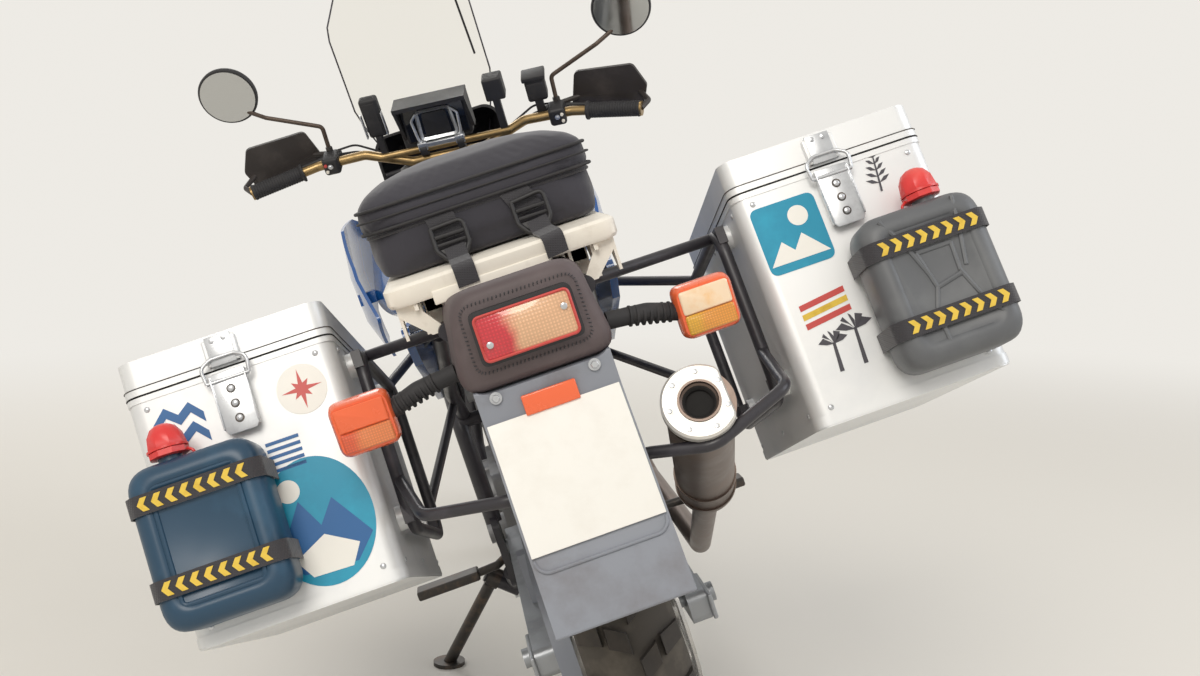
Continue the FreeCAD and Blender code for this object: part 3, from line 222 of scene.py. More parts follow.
def prismLens(name, place, centre, left, right, edge, pitch):
    # Moulded prisms in rows behind a smooth face; the colour runs across the lamp
    material, tree = freshMaterial(name)
    turn = place.to_3x3().normalized()
    middle = place @ Vector(centre)
    where = addNode(tree, "ShaderNodeTexCoord")
    away = addNode(tree, "ShaderNodeVectorMath", {"operation": "SUBTRACT"},
        {0: where.outputs["Object"], 1: middle})
    across, rise = [addNode(tree, "ShaderNodeVectorMath", {"operation": "DOT_PRODUCT"},
        {0: away.outputs[0], 1: turn.col[i]}) for i in (0, 2)]
    flat = addNode(tree, "ShaderNodeCombineXYZ", inputs={0: across.outputs["Value"],
        1: rise.outputs["Value"]})
    rows = [addNode(tree, "ShaderNodeTexWave", {"bands_direction": way, "wave_profile": "SIN"},
        {"Vector": flat.outputs[0], "Scale": 314.0 / pitch}) for way in ("X", "Y")]
    prisms = addNode(tree, "ShaderNodeMath", {"operation": "MULTIPLY"},
        {0: rows[0].outputs[1], 1: rows[1].outputs[1]})
    cloud = addNode(tree, "ShaderNodeTexNoise", inputs={"Vector": flat.outputs[0], "Scale": 28.0,
        "Detail": 2.0})
    shift = addNode(tree, "ShaderNodeMath", {"operation": "MULTIPLY_ADD"},
        {0: cloud.outputs[0], 1: 0.03, 2: across.outputs["Value"]})
    blend = addNode(tree, "ShaderNodeMapRange", {"interpolation_type": "SMOOTHSTEP"},
        {"Value": shift.outputs[0], "From Min": edge - 0.007, "From Max": edge + 0.014})
    tone = addNode(tree, "ShaderNodeMix", {"data_type": "RGBA"},
        {0: blend.outputs[0], 6: linear(left), 7: linear(right)})
    # painted shade: the colour is darkened in the hollows between the prisms
    prismShade = addNode(tree, "ShaderNodeMapRange", inputs={"Value": prisms.outputs[0],
        "To Min": 0.72, "To Max": 1.0})
    shade = addNode(tree, "ShaderNodeVectorMath", {"operation": "SCALE"},
        {0: tone.outputs[2], 3: prismShade.outputs[0]})
    bump = addNode(tree, "ShaderNodeBump", inputs={"Height": prisms.outputs[0], "Strength": 0.5,
        "Distance": 0.0006})
    shader = addNode(tree, "ShaderNodeBsdfPrincipled",
        inputs={"Base Color": shade.outputs[0], "Roughness": 0.3, "Normal": bump.outputs[0],
        "Coat Weight": 0.8, "Coat Roughness": 0.06})
    addNode(tree, "ShaderNodeOutputMaterial", inputs={"Surface": shader.outputs[0]})
    return material


def wovenCloth(name, colour, thread, ridge, pitch):
    # A plain weave: two sine bands across each other, one thread wide each, pitch in millimetres
    material, tree = freshMaterial(name)
    where = addNode(tree, "ShaderNodeTexCoord")
    bands = [addNode(tree, "ShaderNodeTexWave", {"bands_direction": way, "wave_profile": "SIN"},
        {"Vector": where.outputs["Object"], "Scale": 314.0 / pitch, "Distortion": 0.6,
        "Detail": 1.0, "Detail Scale": 2.0}) for way in ("X", "Z")]
    weave = addNode(tree, "ShaderNodeMath", {"operation": "MULTIPLY"},
        {0: bands[0].outputs[1], 1: bands[1].outputs[1]})
    patch = addNode(tree, "ShaderNodeTexNoise", inputs={"Vector": where.outputs["Object"],
        "Scale": 9.0, "Detail": 5.0})
    tone = addNode(tree, "ShaderNodeMix", {"data_type": "RGBA"},
        {0: patch.outputs[0], 6: linear(colour), 7: linear(thread)})
    bump = addNode(tree, "ShaderNodeBump", inputs={"Height": weave.outputs[0], "Strength": 0.7,
        "Distance": ridge / 1000})
    shader = addNode(tree, "ShaderNodeBsdfPrincipled",
        inputs={"Base Color": tone.outputs[2], "Roughness": 0.78, "Normal": bump.outputs[0],
        "Sheen Weight": 0.25})
    addNode(tree, "ShaderNodeOutputMaterial", inputs={"Surface": shader.outputs[0]})
    return material


# Threads of 0.5 mm, drawn coarser so that the weave shows
bagCloth = wovenCloth("coatedBagNylon", "#2b2a32", "#39373f", 0.25, 1.6)
webbing = wovenCloth("blackPolyesterWebbing", "#2c2b2f", "#3a383c", 0.5, 3.0)
print("finishes made:", len(bpy.data.materials))


# Shapes: each returns a closed mesh in the frame's millimetres

def meshFrom(work, mesh):
    # Writes a bmesh back and frees it
    work.to_mesh(mesh)
    work.free()
    return mesh


def merged(shapes, name):
    work = bmesh.new()
    for shape in shapes:
        work.from_mesh(shape)
        bpy.data.meshes.remove(shape)
    return meshFrom(work, bpy.data.meshes.new(name))


def circle(radius, sides=8):
    return [(radius * cos(2 * pi * i / sides), radius * sin(2 * pi * i / sides))
        for i in range(sides)]


def meshOf(points, faces):
    mesh = bpy.data.meshes.new("shape")
    mesh.from_pydata([tuple(p) for p in points], [], faces)
    return mesh


def tidied(mesh, merge=0.0005):
    work = bmesh.new()
    work.from_mesh(mesh)
    bmesh.ops.remove_doubles(work, verts=work.verts, dist=merge)
    bmesh.ops.recalc_face_normals(work, faces=work.faces)
    return meshFrom(work, mesh)


def block(low, high, bevel=0.0, steps=3):
    work = bmesh.new()
    bmesh.ops.create_cube(work, size=1.0)
    low, high = Vector(low), Vector(high)
    for vertex in work.verts:
        vertex.co = Vector([low[i] + (high[i] - low[i]) * (vertex.co[i] + 0.5) for i in range(3)])
    if bevel:
        bmesh.ops.bevel(work, geom=work.edges[:], offset=bevel, segments=steps, profile=0.5,
            affect="EDGES")
    bmesh.ops.recalc_face_normals(work, faces=work.faces)
    return meshFrom(work, bpy.data.meshes.new("block"))


def axesFor(way):
    way = Vector(way).normalized()
    side = way.orthogonal().normalized()
    return way, side, way.cross(side)


def turned(profile, start, way, sides=32):
    # Rows of (distance along way, radius); a radius of 0 closes an end
    way, side, other = axesFor(way)
    start = Vector(start)
    points, faces = [], []
    for distance, radius in profile:
        for i in range(sides):
            angle = 2 * pi * i / sides
            points.append(start + way * distance
                + (side * cos(angle) + other * sin(angle)) * radius)
    for k in range(len(profile) - 1):
        for i in range(sides):
            j = (i + 1) % sides
            faces.append((k * sides + i, k * sides + j, (k + 1) * sides + j, (k + 1) * sides + i))
    if profile[0] != profile[-1]:
        faces.append(tuple(range(sides))[::-1])
        faces.append(tuple(range((len(profile) - 1) * sides, len(profile) * sides)))
    return tidied(meshOf(points, faces))


def rod(start, end, radius, sides=20):
    run = Vector(end) - Vector(start)
    return turned([(0, radius), (run.length, radius)], start, run, sides)


def boltHead(point, way, radius, height):
    # A hexagon head on its washer
    washer = turned([(0, radius * 1.5), (height * 0.25, radius * 1.5)], point, way, 20)
    head = turned([(0, radius), (height * 0.85, radius), (height, radius * 0.85)], point, way, 6)
    return [washer, head]


def rounded(points, bend, steps=5):
    # A polyline with each corner turned into an arc
    points = [Vector(p) for p in points]
    path = [points[0]]
    for before, corner, after in zip(points, points[1:], points[2:]):
        wayIn, wayOut = (corner - before).normalized(), (after - corner).normalized()
        turn = wayIn.angle(wayOut, 0.0)
        trim = min(bend * tan(turn / 2), 0.45 * (corner - before).length,
            0.45 * (after - corner).length)
        a, b = corner - wayIn * trim, corner + wayOut * trim
        for i in range(steps + 1):
            t = i / steps
            path.append(a * (1 - t) ** 2 + corner * 2 * t * (1 - t) + b * t * t)
    path.append(points[-1])
    return path


def swept(path, outline, closed=False):
    # A flat outline of (across, up) pairs carried along a path without twisting
    count, size = len(path), len(outline)
    points, faces = [], []
    way = (path[1] - path[0]).normalized()
    side = way.orthogonal().normalized()
    for i, point in enumerate(path):
        after = path[(i + 1) % count] if closed or i < count - 1 else point
        before = path[i - 1] if closed or i > 0 else point
        newWay = (after - before).normalized()
        side = (way.rotation_difference(newWay) @ side).normalized()
        way = newWay
        up = way.cross(side)
        points += [point + side * a + up * b for a, b in outline]
    for k in range(count if closed else count - 1):
        for i in range(size):
            j = (i + 1) % size
            n = (k + 1) % count
            faces.append((k * size + i, k * size + j, n * size + j, n * size + i))
    if not closed:
        faces += [tuple(range(size))[::-1], tuple(range((count - 1) * size, count * size))]
    return tidied(meshOf(points, faces))


def pipe(points, radius, bend=20.0, sides=12, closed=False):
    return swept(rounded(points, bend), circle(radius, sides), closed)


def strap(points, across, thickness, bend=8.0):
    # Flat webbing along a path, its width given as a vector
    path = rounded(points, bend)
    across = Vector(across)
    corners, faces = [], []
    for i, point in enumerate(path):
        way = (path[min(i + 1, len(path) - 1)] - path[max(i - 1, 0)]).normalized()
        out = way.cross(across).normalized() * thickness / 2
        corners += [point - across / 2 - out, point + across / 2 - out, point + across / 2 + out,
            point - across / 2 + out]
    for k in range(len(path) - 1):
        for i in range(4):
            j = (i + 1) % 4
            faces.append((k * 4 + i, k * 4 + j, k * 4 + 4 + j, k * 4 + 4 + i))
    faces += [(3, 2, 1, 0), tuple(range(len(path) * 4 - 4, len(path) * 4))]
    return tidied(meshOf(corners, faces))


def plate(outline, run, bevel=0.0):
    # A flat outline pushed along a vector
    run = Vector(run)
    outline = [Vector(p) for p in outline]
    n = len(outline)
    faces = [tuple(range(n))[::-1], tuple(range(n, 2 * n))]
    faces += [(i, (i + 1) % n, n + (i + 1) % n, n + i) for i in range(n)]
    mesh = tidied(meshOf(outline + [p + run for p in outline], faces))
    if bevel:
        work = bmesh.new()
        work.from_mesh(mesh)
        rims = [edge for edge in work.edges if n in [len(face.verts) for face in edge.link_faces]]
        bmesh.ops.bevel(work, geom=rims, offset=bevel, segments=2, profile=0.5, affect="EDGES",
            clamp_overlap=True)
        meshFrom(work, mesh)
    return mesh


def ringLoop(halfLow, halfHigh, zLow, zHigh, radius, steps=6):
    # A rounded trapezoid as (across, up) pairs
    corners = [Vector((-halfLow, zLow)), Vector((halfLow, zLow)), Vector((halfHigh, zHigh)),
        Vector((-halfHigh, zHigh))]
    loop = []
    for i, corner in enumerate(corners):
        a = corner + (corners[i - 1] - corner).normalized() * radius
        b = corner + (corners[(i + 1) % 4] - corner).normalized() * radius
        for k in range(steps + 1):
            t = k / steps
            p = a * (1 - t) ** 2 + corner * 2 * t * (1 - t) + b * t * t
            loop.append((p.x, p.y))
    return loop


def lofted(loops):
    # Loops of equal length, capped at both ends
    size = len(loops[0])
    points = [Vector(p) for loop in loops for p in loop]
    faces = [tuple(range(size))[::-1], tuple(range((len(loops) - 1) * size, len(loops) * size))]
    for k in range(len(loops) - 1):
        for i in range(size):
            j = (i + 1) % size
            faces.append((k * size + i, k * size + j, (k + 1) * size + j, (k + 1) * size + i))
    return tidied(meshOf(points, faces))


def loftAlong(rows, steps=6):
    # Rows of y, half width low, half width high, z low, z high, corner radius
    return lofted([[(x, y, z) for x, z in ringLoop(a, b, low, high, radius, steps)]
                   for y, a, b, low, high, radius in rows])


# Assembling

sharpAngle = radians(38)


def newObject(name, data):
    holder = bpy.data.objects.new(name, data)
    bpy.context.scene.collection.objects.link(holder)
    return holder


def evaluatedMesh(piece):
    graph = bpy.context.evaluated_depsgraph_get()
    return bpy.data.meshes.new_from_object(piece.evaluated_get(graph))


def turnOf(place):
    return place.to_3x3().normalized().to_4x4()


def markSharp(work):
    for edge in work.edges:
        edge.smooth = len(edge.link_faces) == 2 and edge.calc_face_angle(0.0) < sharpAngle


def assemble(name, place, body, parts, replaces=()):
    # parts are (shape, finish) pairs that become one piece riding on a body
    work = bmesh.new()
    finishes = []
    for shape, finish in parts:
        if finish not in finishes:
            finishes.append(finish)
        before = len(work.faces)
        work.from_mesh(shape)
        work.faces.ensure_lookup_table()
        for face in work.faces[before:]:
            face.material_index = finishes.index(finish)
            face.smooth = True
        bpy.data.meshes.remove(shape)
    if place.determinant() < 0:
        bmesh.ops.reverse_faces(work, faces=work.faces)
    work.transform(place)
    markSharp(work)
    mesh = meshFrom(work, bpy.data.meshes.new(name))
    for finish in finishes:
        mesh.materials.append(finish)
    piece = newObject(name, mesh)
    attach(piece, body)
    if replaces:
        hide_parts(*replaces)
    return piece


def nodeCopy(node):
    # The CAD node's own form, with its loose triangles merged
    mesh = nodes[node].data.copy()
    work = bmesh.new()
    work.from_mesh(mesh)
    bmesh.ops.remove_doubles(work, verts=work.verts, dist=0.00001)
    bmesh.ops.dissolve_limit(work, angle_limit=radians(0.5), verts=work.verts, edges=work.edges)
    return meshFrom(work, mesh)


def smoothNode(node, finish):
    # Stands for a CAD node: same shape, smooth where it is curved
    bodies = frame["record"]["behaviour"]["bodies"]
    body = next(name for name, members in bodies.items() if node in members)
    return assemble(node + "_finished", Matrix.Identity(4), body, [(nodeCopy(node), finish)],
        [node])


def repeater(name, unit, spots, finish, body):
    # Geometry Nodes: one unit mesh on every spot, each spot a 4x4 matrix in the row's metres
    carrier = bpy.data.meshes.new(name + "Spots")
    carrier.from_pydata([tuple(spot.to_translation()) for spot in spots], [], [])
    turns = carrier.attributes.new("turn", "FLOAT_VECTOR", "POINT")
    for i, spot in enumerate(spots):
        turns.data[i].vector = tuple(spot.to_euler())
    holder = newObject(name, carrier)
    source = newObject(name + "Unit", unit)
    tree = bpy.data.node_groups.new(name, "GeometryNodeTree")
    tree.interface.new_socket("Geometry", in_out="INPUT", socket_type="NodeSocketGeometry")
    size = tree.interface.new_socket("Unit size", in_out="INPUT", socket_type="NodeSocketFloat")
    tree.interface.new_socket("Geometry", in_out="OUTPUT", socket_type="NodeSocketGeometry")
    start = addNode(tree, "NodeGroupInput")
    shape = addNode(tree, "GeometryNodeObjectInfo", inputs={"Object": source})
    turn = addNode(tree, "GeometryNodeInputNamedAttribute", {"data_type": "FLOAT_VECTOR"},
        {"Name": "turn"})
    placed = addNode(tree, "GeometryNodeInstanceOnPoints",
        inputs={"Points": start.outputs[0], "Instance": shape.outputs["Geometry"],
        "Rotation": turn.outputs[0], "Scale": start.outputs[1]})
    real = addNode(tree, "GeometryNodeRealizeInstances", inputs={"Geometry": placed.outputs[0]})
    done = addNode(tree, "GeometryNodeSetMaterial",
        inputs={"Geometry": real.outputs[0], "Material": finish})
    addNode(tree, "NodeGroupOutput", inputs={0: done.outputs[0]})
    modifier = holder.modifiers.new("Repeat", "NODES")
    modifier.node_group = tree
    modifier[size.identifier] = 0.001
    mesh = evaluatedMesh(holder)
    holder.modifiers.remove(modifier)
    holder.data = mesh
    bpy.data.objects.remove(source)
    for polygon in mesh.polygons:
        polygon.use_smooth = True
    work = bmesh.new()
    work.from_mesh(mesh)
    markSharp(work)
    meshFrom(work, mesh)
    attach(holder, body)
    return holder


def spotAt(place, point, way, spin=0.0):
    # A spot for the repeater: local Z along way
    point = place @ Vector(point)
    way = (place.to_3x3() @ Vector(way)).normalized()
    facing = way.to_track_quat("Z", "Y").to_matrix().to_4x4()
    return Matrix.Translation(point) @ facing @ Matrix.Rotation(spin, 4, "Z")


rightward, forward, rearward, upward = (1, 0, 0), (0, 1, 0), (0, -1, 0), (0, 0, 1)


# Wheels

tread = {"lugHeight": 11.0, "rows": 26, "drawnHalf": 70.0}
# radius, half width, crown's radius, rim's radius and half width of the rim
tyres = {"rear": (325.0, 70.0, 78.0, 216.0, 46), "front": (345.0, 46.0, 52.0, 267.0, 28)}


def crownRadius(x, radius, crown):
    return radius - crown + sqrt(max(0.0, crown * crown - x * x))


def tyreShell(radius, half, crown, rim, rimHalf):
    # Carcass below the lugs, from bead to bead, closed through the well
    rows = [(-rimHalf + 6, rim + 1), (-rimHalf - 2, rim + 14)]
    steps = 14
    for i in range(steps + 1):
        x = -half + 2 * half * i / steps
        rows.append((x * 0.97, crownRadius(x, radius, crown) - tread["lugHeight"]))
    rows += [(rimHalf + 2, rim + 14), (rimHalf - 6, rim + 1), (-rimHalf + 6, rim + 1)]
    rows.insert(2, (-half + 1, (rim + crownRadius(half, radius, crown)) / 2 + 8))
    rows.insert(-3, (half - 1, (rim + crownRadius(half, radius, crown)) / 2 + 8))
    return turned(rows, (0, 0, 0), rightward, 120)


def lugShape(outline, radius, crown):
    # One tread block: (across, along the tread) corners laid on the crown
    outer, inner = [], []
    for x, arc in outline:
        r = crownRadius(x, radius, crown)
        for ring, reach, grow in ((outer, r, 0.93), (inner, r - tread["lugHeight"] - 2, 1.06)):
            midX = sum(p[0] for p in outline) / len(outline)
            midArc = sum(p[1] for p in outline) / len(outline)
            a = (midArc + (arc - midArc) * grow) / radius
            ring.append(Vector((midX + (x - midX) * grow, reach * sin(a), reach * cos(a))))
    return lofted([inner, outer])


def knobbly(end, place):
    # Blocks in a zigzag: two in the middle and two on the shoulders for every row
    radius, half, crown, rim, rimHalf = tyres[end]
    name, body = end + "Tyre", end + "_wheel"
    k = half / tread["drawnHalf"]
    pitch = 2 * pi * radius / tread["rows"]
    patterns = []
    for side, shift in ((1, 0.0), (-1, pitch / 2)):
        patterns.append([(side * 3 * k, shift), (side * 30 * k, shift + 16),
            (side * 30 * k, shift + 46), (side * 3 * k, shift + 30)])
        patterns.append([(side * 37 * k, shift + 22), (side * 66 * k, shift + 34),
            (side * 66 * k, shift + 62), (side * 37 * k, shift + 52)])
    parts = [(tyreShell(radius, half, crown, rim, rimHalf), dustyRubber)]
    mesh = merged([lugShape(pattern, radius, crown) for pattern in patterns], "lugs")
    centre = Matrix.Translation(place.to_translation()) @ turnOf(place)
    spots = [centre @ Matrix.Rotation(2 * pi * i / tread["rows"], 4, "X")
        for i in range(tread["rows"])]
    assemble(name, place, body, parts, [end + "_tyre"])
    repeater(name + "Lugs", mesh, spots, tyreRubber, body)


rearHub = bike @ Matrix.Translation((0, 0, (rearAxle - bikeOrigin).length * 1000))
frontHub = fork @ Matrix.Translation(fork.inverted() @ frontAxle)
knobbly("rear", rearHub)
knobbly("front", frontHub)
for end in tyres:
    smoothNode(end + "_rim", machinedAlloy)
print("wheels made")


# Panniers, lids, jerrycans

case = {"width": 278.0, "length": 468.0, "height": 383.0, "lid": 48.0, "rim": 1.2,
    "rivetRadius": 4.0}
can = {"x": (119, 285), "face": -88, "z": (-168, 40), "neck": (228, -50, 38), "strapWidth": 25.0,
    "strapLevels": (-6, -112), "strapProud": 2.2, "arrows": 8, "arrowStep": 17.5}
# rows of inset, corner radius and y, from the back to the face
canRows = [(10, 28, -14), (3, 32, -17), (0, 34, -24), (0, 34, -66), (2, 34, -75), (7, 32, -82),
    (14, 28, -86.5), (21, 24, -88), (26, 20, -87), (29, 18, -84.5)]
# lines raised on the face: a plain panel on the left, a box over a forked foot on the right
canChannels = {
    "left": [[(150, 10), (254, 10), (254, -138), (150, -138), (150, 10)]],
    "right": [[(150, 30), (170, -8), (188, -60)], [(252, 32), (246, -8), (236, -58)],
              [(180, -24), (228, -24)], [(180, -24), (190, -74)], [(228, -24), (226, -62)],
              [(190, -74), (178, -104), (180, -146)], [(190, -74), (226, -66)],
              [(226, -62), (240, -100), (264, -136)]]}


def pannierTrim(side):
    place = pannierFrame(side)
    wide, deep, top = case["width"], case["length"], case["height"] / 2
    mid, seam = wide / 2, top - case["lid"]
    # toggle latch: flat base with turned sides and three rivets, and the bail over the lid's hook
    base = [(mid - 23, -14, seam - 8), (mid + 23, -14, seam - 8), (mid + 22, -14, seam - 84),
        (mid + 18, -14, seam - 90), (mid - 18, -14, seam - 90), (mid - 22, -14, seam - 84)]
    body = [(plate(base, (0, -2, 0), 0.6), latchSteel)]
    for x in (mid - 23.5, mid + 21.5):
        body.append((block((x, -18.5, seam - 82), (x + 2, -12, seam - 10), 0.7), latchSteel))
    # each rivet sits on a dark ring, painted shade round its head
    for z in (seam - 32, seam - 52, seam - 72):
        body.append((turned([(0, 6.2), (0.7, 6.0)], (mid, -15.8, z), rearward, 20), darkSteelAndShade))
        body.append((turned([(0, 4.4), (1.4, 4.0), (2.2, 2.4), (2.4, 0.01)], (mid, -16.2, z),
            rearward, 20), latchSteel))
    body.append((rod((mid - 28, -15, seam - 18), (mid + 28, -15, seam - 18), 2.8), latchSteel))
    bail = [(mid - 28, -15, seam - 18), (mid - 31, -16, seam + 4), (mid - 16, -13, seam + 13),
        (mid + 16, -13, seam + 13), (mid + 31, -16, seam + 4), (mid + 28, -15, seam - 18)]
    body.append((pipe(bail, 2.4, 12), latchSteel))
    # folded rim under the lid, a reinforcing band round the floor and the lid's own rim, and dark lines of painted
    # shade at the seam
    rim = case["rim"]
    corners = ringLoop(wide / 2 + rim, wide / 2 + rim, -rim, deep + rim, 24)

    def band(low, high):
        return lofted([[(wide / 2 + x, y, z) for x, y in corners] for z in (low, high)])

    # a thin dark square ring along a seam: painted shade
    def shadeLine(z, grow, half, deepness):
        line = [Vector((wide / 2 + x * grow, y, z)) for x, y in corners]
        outline = [(half, deepness), (-half, deepness), (-half, -deepness), (half, -deepness)]
        return swept(line, outline, True)

    body += [(band(seam - 9, seam - 1.5), sheetAluminium),
        (band(-top + 2, -top + 16), sheetAluminium), (shadeLine(seam, 0.999, 0.8, 0.7), sootAndSeamShade)]
    hook = [(mid - 17, -1.4, seam + 3), (mid + 17, -1.4, seam + 3), (mid + 17, -1.4, top - 5),
        (mid - 17, -1.4, top - 5)]
    lid = [(plate(hook, (0, -9, 0), 0.8), latchSteel)]
    for x in (mid - 8, mid + 8):
        lid.append((turned([(0, 3.6), (1.0, 3.4), (1.9, 0.01)], (x, -10.3, top - 11), rearward,
            14), latchSteel))
    # the lid's dark line at the top of its rim band is painted shade
    lid += [(band(seam + 1.2, seam + 10), sheetAluminium),
        (shadeLine(seam + 10.6, 1.004, 0.6, 0.5), darkSteelAndShade)]
    assemble(side + "PannierTrim", place, "chassis", body)
    assemble(side + "LidTrim", place, side + "_lid", lid)
    r = case["rivetRadius"]
    rivet = turned([(0, r), (1.0, r * 0.9), (1.9, r * 0.5), (2.1, 0.01)], (0, 0, 0), upward, 12)
    heights = (-top + 24, seam - 20)
    spots = [spotAt(place, (x, -0.1, z), rearward) for x in (26, wide - 26) for z in heights]
    spots += [spotAt(place, (x, y, z), (way, 0, 0)) for x, way in ((0.1, -1), (wide - 0.1, 1))
              for y in (30, deep / 2, deep - 30) for z in heights]
    repeater(side + "PannierRivets", rivet, spots, latchSteel, "chassis")


def canLoop(inset, radius, y):
    (x0, x1), (z0, z1) = can["x"], can["z"]
    half = (x1 - x0) / 2 - inset
    loop = ringLoop(half, half, z0 + inset, z1 - inset, radius, 8)
    return [((x0 + x1) / 2 + x, y, z) for x, z in loop]


def jerrycan(side, finish):
    parts = [(lofted([canLoop(*row) for row in canRows]), finish)]
    for line in canChannels[side]:
        parts.append((pipe([(x, -84.2, z) for x, z in line], 3.4, 8, 8), finish))
    x, y, z = can["neck"]
    parts.append((turned([(0, 15), (12, 15)], can["neck"], upward), finish))
    # screw cap: a collar under a broad faceted dome, and its tether
    cap = [(8, 23), (9, 25.5), (16, 25.5), (17, 24), (20, 25), (36, 22.5), (46, 16), (50, 9),
        (51, 0.01)]
    collar = [(17, 0.01), (17, 26), (20, 26), (20, 0.01)]
    tether = [(x - 20, y, z + 14), (x - 32, y - 4, z + 6), (x - 28, y, z - 2)]
    for shape in (turned(cap, can["neck"], upward, 9), turned(collar, can["neck"], upward, 48),
            pipe(tether, 2.0, 8, 8)):
        parts.append((shape, redPolyethylene))
    x0, x1 = can["x"]
    out, face = can["strapProud"], can["face"] - can["strapProud"]
    for level in can["strapLevels"]:
        loop = [(x0 - 1, -2), (x0 - out, -30), (x0 - out, -78), (x0 + 10, face), (x1 - 10, face),
            (x1 + out, -78), (x1 + out, -30), (x1 + 1, -2)]
        parts.append((strap([(x, y, level) for x, y in loop], (0, 0, can["strapWidth"]), 1.8, 14),
            webbing))
        # woven yellow arrowheads in a plain row
        for i in range(can["arrows"]):
            x = x0 + 16 + i * can["arrowStep"]
            arrow = [(0, -8.5), (8, -8.5), (14, 0), (8, 8.5), (0, 8.5), (6, 0)]
            parts.append((plate([(x + a, face - 1.2, level + b) for a, b in arrow], (0, -0.5, 0)),
                yellowThread))
        hook = [(x1 + 4, y, level + z) for y, z in ((-42, -13), (-20, -13), (-20, 13), (-42, 13),
            (-42, -13))]
        parts.append((pipe(hook, 2.2, 4, 8), blackPowder))
    assemble(side + "Jerrycan", pannierFrame(side), "chassis", parts, [side + "_jerrycan"])


def ellipse(x, z, halfX, halfZ):
    return [(x + halfX * a, z + halfZ * b) for a, b in circle(1.0, 48)]


def sticker(outline, layer=0):
    # (across, up) corners on the rear face; each layer lies on the one before
    return plate([(x, -0.35 - 0.3 * layer, z) for x, z in outline], (0, -0.3, 0))


def stickers():
    # Generic travel stickers: stripes, waves, hills, a sun, palms, a fern and a compass star
    parts = [(sticker(ellipse(84, -86, 70, 84)), tealVinyl),
        (sticker([(24, -120), (62, -62), (84, -92), (104, -54), (146, -118), (122, -146),
        (52, -150)], 1), deepBlueVinyl),
        (sticker([(44, -128), (84, -104), (128, -126), (112, -152), (60, -154)], 2), whiteVinyl),
        (sticker(ellipse(112, -38, 15, 15), 1), whiteVinyl)]
    for i in range(5):
        z = 26 - i * 9
        parts.append((sticker([(78, z), (122, z), (122, z + 4.5), (78, z + 4.5)]), deepBlueVinyl))
    star = []
    for i in range(16):
        r = 27 if i % 4 == 0 else (16 if i % 2 == 0 else 8)
        star.append((56 + r * sin(pi * i / 8), 84 + r * cos(pi * i / 8)))
    parts += [(sticker(ellipse(56, 84, 33, 33)), whiteVinyl), (sticker(star, 1), redVinyl)]
    wave = [(184, 98), (200, 116), (216, 104), (232, 118), (250, 100), (250, 88), (232, 104),
        (216, 90), (200, 102), (184, 84)]
    parts += [(sticker([(x, z - drop) for x, z in wave]), deepBlueVinyl) for drop in (0, 26)]
    assemble("leftStickers", pannierFrame("left"), "chassis", parts)
    square = [(62 + x, 68 + z) for x, z in ringLoop(46, 46, -48, 48, 12)]
    parts = [(sticker(square), tealVinyl), (sticker(ellipse(78, 90, 14, 14), 1), whiteVinyl),
        (sticker([(20, 32), (44, 62), (58, 46), (74, 66), (104, 32)], 1), whiteVinyl)]
    for i, finish in enumerate((redVinyl, yellowThread, redVinyl)):
        z = -36 - i * 13
        parts.append((sticker([(34, z), (100, z + 8), (100, z + 16), (34, z + 8)]), finish))
    foot = -128
    for x, size in ((58, 1.0), (92, 1.25)):
        trunk = [(x - 3, foot), (x + 3, foot), (x + 5, foot + 40 * size),
            (x + 1, foot + 40 * size)]
        parts.append((sticker(trunk), charcoalVinyl))
        for a in (-70, -35, 0, 35, 70):
            c, s = cos(radians(a + 90)), sin(radians(a + 90))
            across, rise = x + 3 + 12 * size * c, foot + 12 * size * s
            leaf = [(x + 3, foot + 38 * size), (across - 3 * s, rise + 42 * size + 3),
                (x + 3 + 22 * size * c, foot + 38 * size + 16 * size * s),
                (across + 3 * s, rise + 36 * size - 1)]
            parts.append((sticker(leaf, 1), charcoalVinyl))
    for i in range(6):
        x, z, size = 200 + i, 96 + i * 9, 17 - 2.2 * i
        for way in (-size, size):
            leaf = [(x, z), (x + way * 0.5, z + 7), (x + way, z + 8), (x + way * 0.6, z + 2)]
            parts.append((sticker(leaf), charcoalVinyl))
    parts.append((sticker([(197, 84), (200, 84), (207.5, 152), (206, 152)], 1), charcoalVinyl))
    assemble("rightStickers", pannierFrame("right"), "chassis", parts)


for side in ("left", "right"):
    smoothNode(side + "_pannier", sheetAluminium)
    smoothNode(side + "_lid", sheetAluminium)
    pannierTrim(side)
jerrycan("left", bluePolyethylene)
jerrycan("right", greyPolyethylene)
stickers()
print("luggage made")


# Tail: housing, lamp, plate carrier, indicators, silencer

tail = {"lensHalf": 58.0, "lensLow": 838.0, "lensHigh": 892.0, "face": -389.0, "bulge": 7.0,
    "stitch": 5.0}
carrier = {"reflector": (-374.0, 772.0), "slope": -5.2, "half": 83.0, "bead": 2.2, "edge": 1.5}


